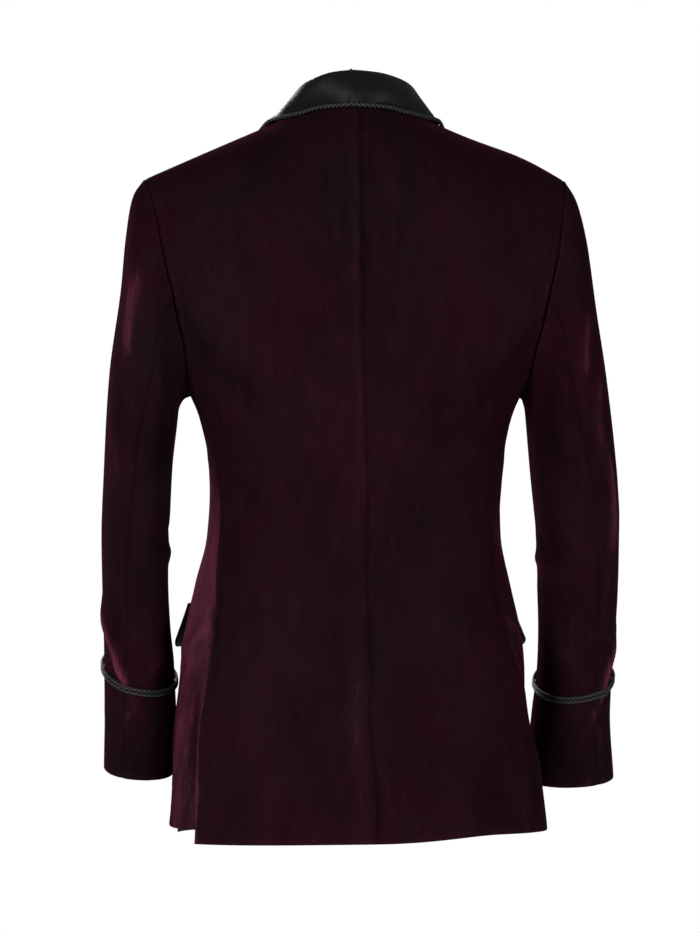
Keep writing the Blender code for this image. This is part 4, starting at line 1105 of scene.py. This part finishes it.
def attribute(tree, name):
    """The number that is written on each point under this name."""
    node = tree.nodes.new("ShaderNodeAttribute")
    node.attribute_name = name
    return node.outputs["Fac"]


def bumped(tree, shader, height, distance):
    """Relief of a real depth in metres."""
    bump = tree.nodes.new("ShaderNodeBump")
    bump.inputs["Distance"].default_value = distance
    tree.links.new(height, bump.inputs["Height"])
    tree.links.new(bump.outputs["Normal"], shader.inputs["Normal"])


def velvet_look():
    """Burgundy velvet: a dark ground, paler pile, brushed streaks, crushed patches and painted light.

    The pile's tone is the sum of its layers, each a pattern or the cloth's painted light read over a range.
    It picks a colour from a neutral and from a redder dye, which another pattern mixes.
    """
    look, tree, shader = new_look("burgundy velvet", VELVET_NEUTRAL[0], 0.95, VELVET_FINISH)
    lies = {name: pattern(tree, *values) for name, values in VELVET_PATTERNS.items()}
    lies["painted_light"] = attribute(tree, "painted_light")
    layers = [ranged(tree, lies[name], *span) for name, *span in NAP_AND_LIGHT_LAYERS]
    nap_and_light = layers[0]
    for layer in layers[1:]:
        nap_and_light = combined(tree, "ADD", nap_and_light, layer)
    # Each dye's ramp runs from its ground through its pile to the colour of the painted highlights.
    dyes = [tinted(tree, nap_and_light, dye, NAP_AND_LIGHT_PLACES) for dye in (VELVET_NEUTRAL, VELVET_RED)]
    colour = mixed(tree, ranged(tree, lies["hue"], 0.32, 0.68, 0.0, 1.0), *dyes)
    tree.links.new(colour, shader.inputs["Base Color"])
    relief = combined(tree, "ADD", ranged(tree, lies["pile"], 0.25, 0.75, 0.0, 0.6),
                      ranged(tree, lies["brushed"], 0.3, 0.7, 0.0, 0.4))
    bumped(tree, shader, relief, PILE_RELIEF)
    return look


def wrong_side_look():
    """The velvet's plain woven back, inside the garment."""
    look, tree, shader = new_look("velvet wrong side", VELVET_NEUTRAL[0], 0.85, {"Specular IOR Level": 0.2})
    threads = pattern(tree, "UV", (1.0, 0.35, 1.0), 900.0, 2.0)
    tree.links.new(tinted(tree, threads, WRONG_SIDE, (0.3, 0.7)), shader.inputs["Base Color"])
    bumped(tree, shader, threads, 0.0001)
    return look


def satin_look():
    """Black satin: a smooth warp face whose gloss wavers with its fine ribs and the hand of the cloth."""
    look, tree, shader = new_look("black satin", SATIN_BLACK, 0.34, SATIN_FINISH)
    ribs = pattern(tree, "UV", (1.0, 0.06, 1.0), 1400.0, 2.0)
    hand = pattern(tree, "Object", (1.0, 1.0, 1.0), 24.0, 3.0)
    tree.links.new(ranged(tree, hand, 0.3, 0.7, *SATIN_ROUGHNESS), shader.inputs["Roughness"])
    tree.links.new(tinted(tree, ribs, (SATIN_BLACK, SATIN_RIB), (0.35, 0.75)), shader.inputs["Base Color"])
    relief = combined(tree, "ADD", ranged(tree, ribs, 0.3, 0.7, 0.0, 0.3),
                      ranged(tree, hand, 0.3, 0.7, 0.0, 0.7))
    bumped(tree, shader, relief, SATIN_RELIEF)
    return look


def cord_look():
    """Black twisted rayon cord: fine yarns along the strands, with a grey highlight painted on their tops.
    """
    look, tree, shader = new_look("twisted cord", CORD_BLACK, 0.6, {"Specular IOR Level": 0.08})
    yarns = pattern(tree, "UV", (1.0, 0.5, 1.0), 2600.0, 2.0)
    shade = combined(tree, "MULTIPLY", ranged(tree, yarns, 0.3, 0.7, 0.7, 1.0), attribute(tree, "strand"))
    tree.links.new(tinted(tree, shade, (CORD_BLACK, CORD_HIGHLIGHT), CORD_PLACES), shader.inputs["Base Color"])
    bumped(tree, shader, yarns, YARN_RELIEF)
    return look


def studio():
    """A pale floor well below the hem, a white surround and three soft boxes."""
    place = (0, 0, FLOOR_Z)
    bpy.ops.mesh.primitive_circle_add(vertices=96, radius=FLOOR_RADIUS, fill_type="NGON", location=place)
    floor = bpy.context.object
    floor.name = "studio_floor"
    floor.data.materials.append(new_look("pale floor", FLOOR_PALE, 0.9)[0])
    world = bpy.data.worlds.new("white surround")
    bpy.context.scene.world = world
    world.use_nodes = True
    tree = world.node_tree
    tree.nodes["Background"].inputs["Color"].default_value = (1, 1, 1, 1)
    seen = tree.nodes.new("ShaderNodeLightPath").outputs["Is Camera Ray"]
    tree.links.new(ranged(tree, seen, 0.0, 1.0, SURROUND, 1.0), tree.nodes["Background"].inputs["Strength"])
    for name, place, size, power in SOFT_BOXES:
        lamp = bpy.data.lights.new(name, "AREA")
        lamp.shape = "RECTANGLE"
        lamp.size, lamp.size_y = size
        lamp.energy = power
        box = bpy.data.objects.new(name, lamp)
        box.location = place
        box.rotation_euler = (MIDDLE - Vector(place)).to_track_quat("-Z", "Y").to_euler()
        bpy.context.scene.collection.objects.link(box)


def photographer():
    """The camera behind the jacket, level with its middle and a little to the wearer's left."""
    camera = bpy.data.objects.new("camera", bpy.data.cameras.new("camera"))
    bpy.context.scene.collection.objects.link(camera)
    camera.data.lens = LENS
    camera.data.sensor_width = SENSOR
    camera.data.shift_x = SHIFT_X
    turn = math.radians(CAMERA_TURN)
    away = Vector((math.sin(turn), math.cos(turn), 0))
    camera.location = MIDDLE + away * CAMERA_AWAY
    camera.rotation_euler = (-away).to_track_quat("-Z", "Y").to_euler()
    bpy.context.scene.camera = camera


def paired_pieces():
    """Every piece that has a left and a right. A right piece is worked out on the left and then mirrored."""
    velvet = [velvet_look(), wrong_side_look()]
    satin = satin_look()
    cord = cord_look()
    for side, mirrored in (("left", False), ("right", True)):
        for piece, panel in (("back", back_panel), ("front", front_panel), ("side", side_panel)):
            points, painted_light = panel(side)
            points = fuller(swayed(points, side), side)
            cloth(piece + "_" + side, points, WALL, velvet, mirrored, painted_light)
        for piece in ("top", "under"):
            points, painted_light = sleeve_panel(side, piece)
            name = "sleeve_" + piece + "_" + side
            cloth(name, fuller(points, side), WALL, velvet, mirrored, painted_light)
        cloth("collar_" + side, collar_surface(side), COLLAR_WALL, [satin, satin], mirrored)
        points = swayed(flap(side), side)
        cloth("pocket_flap_" + side, points, FLAP["wall"], [satin, satin], mirrored)
        twisted_cord("collar_cord_" + side, *collar_cord_line(side), COLLAR_CORD, False, mirrored, cord)
        for row, share in zip(("upper", "lower"), CUFF_CORD_AT):
            name = "cuff_cord_" + row + "_" + side
            twisted_cord(name, *cuff_cord_line(side, share), CUFF_CORD, True, mirrored, cord)
    return satin


photographer()
studio()
bpy.context.scene.view_settings.view_transform = "Standard"
covered_button(paired_pieces())
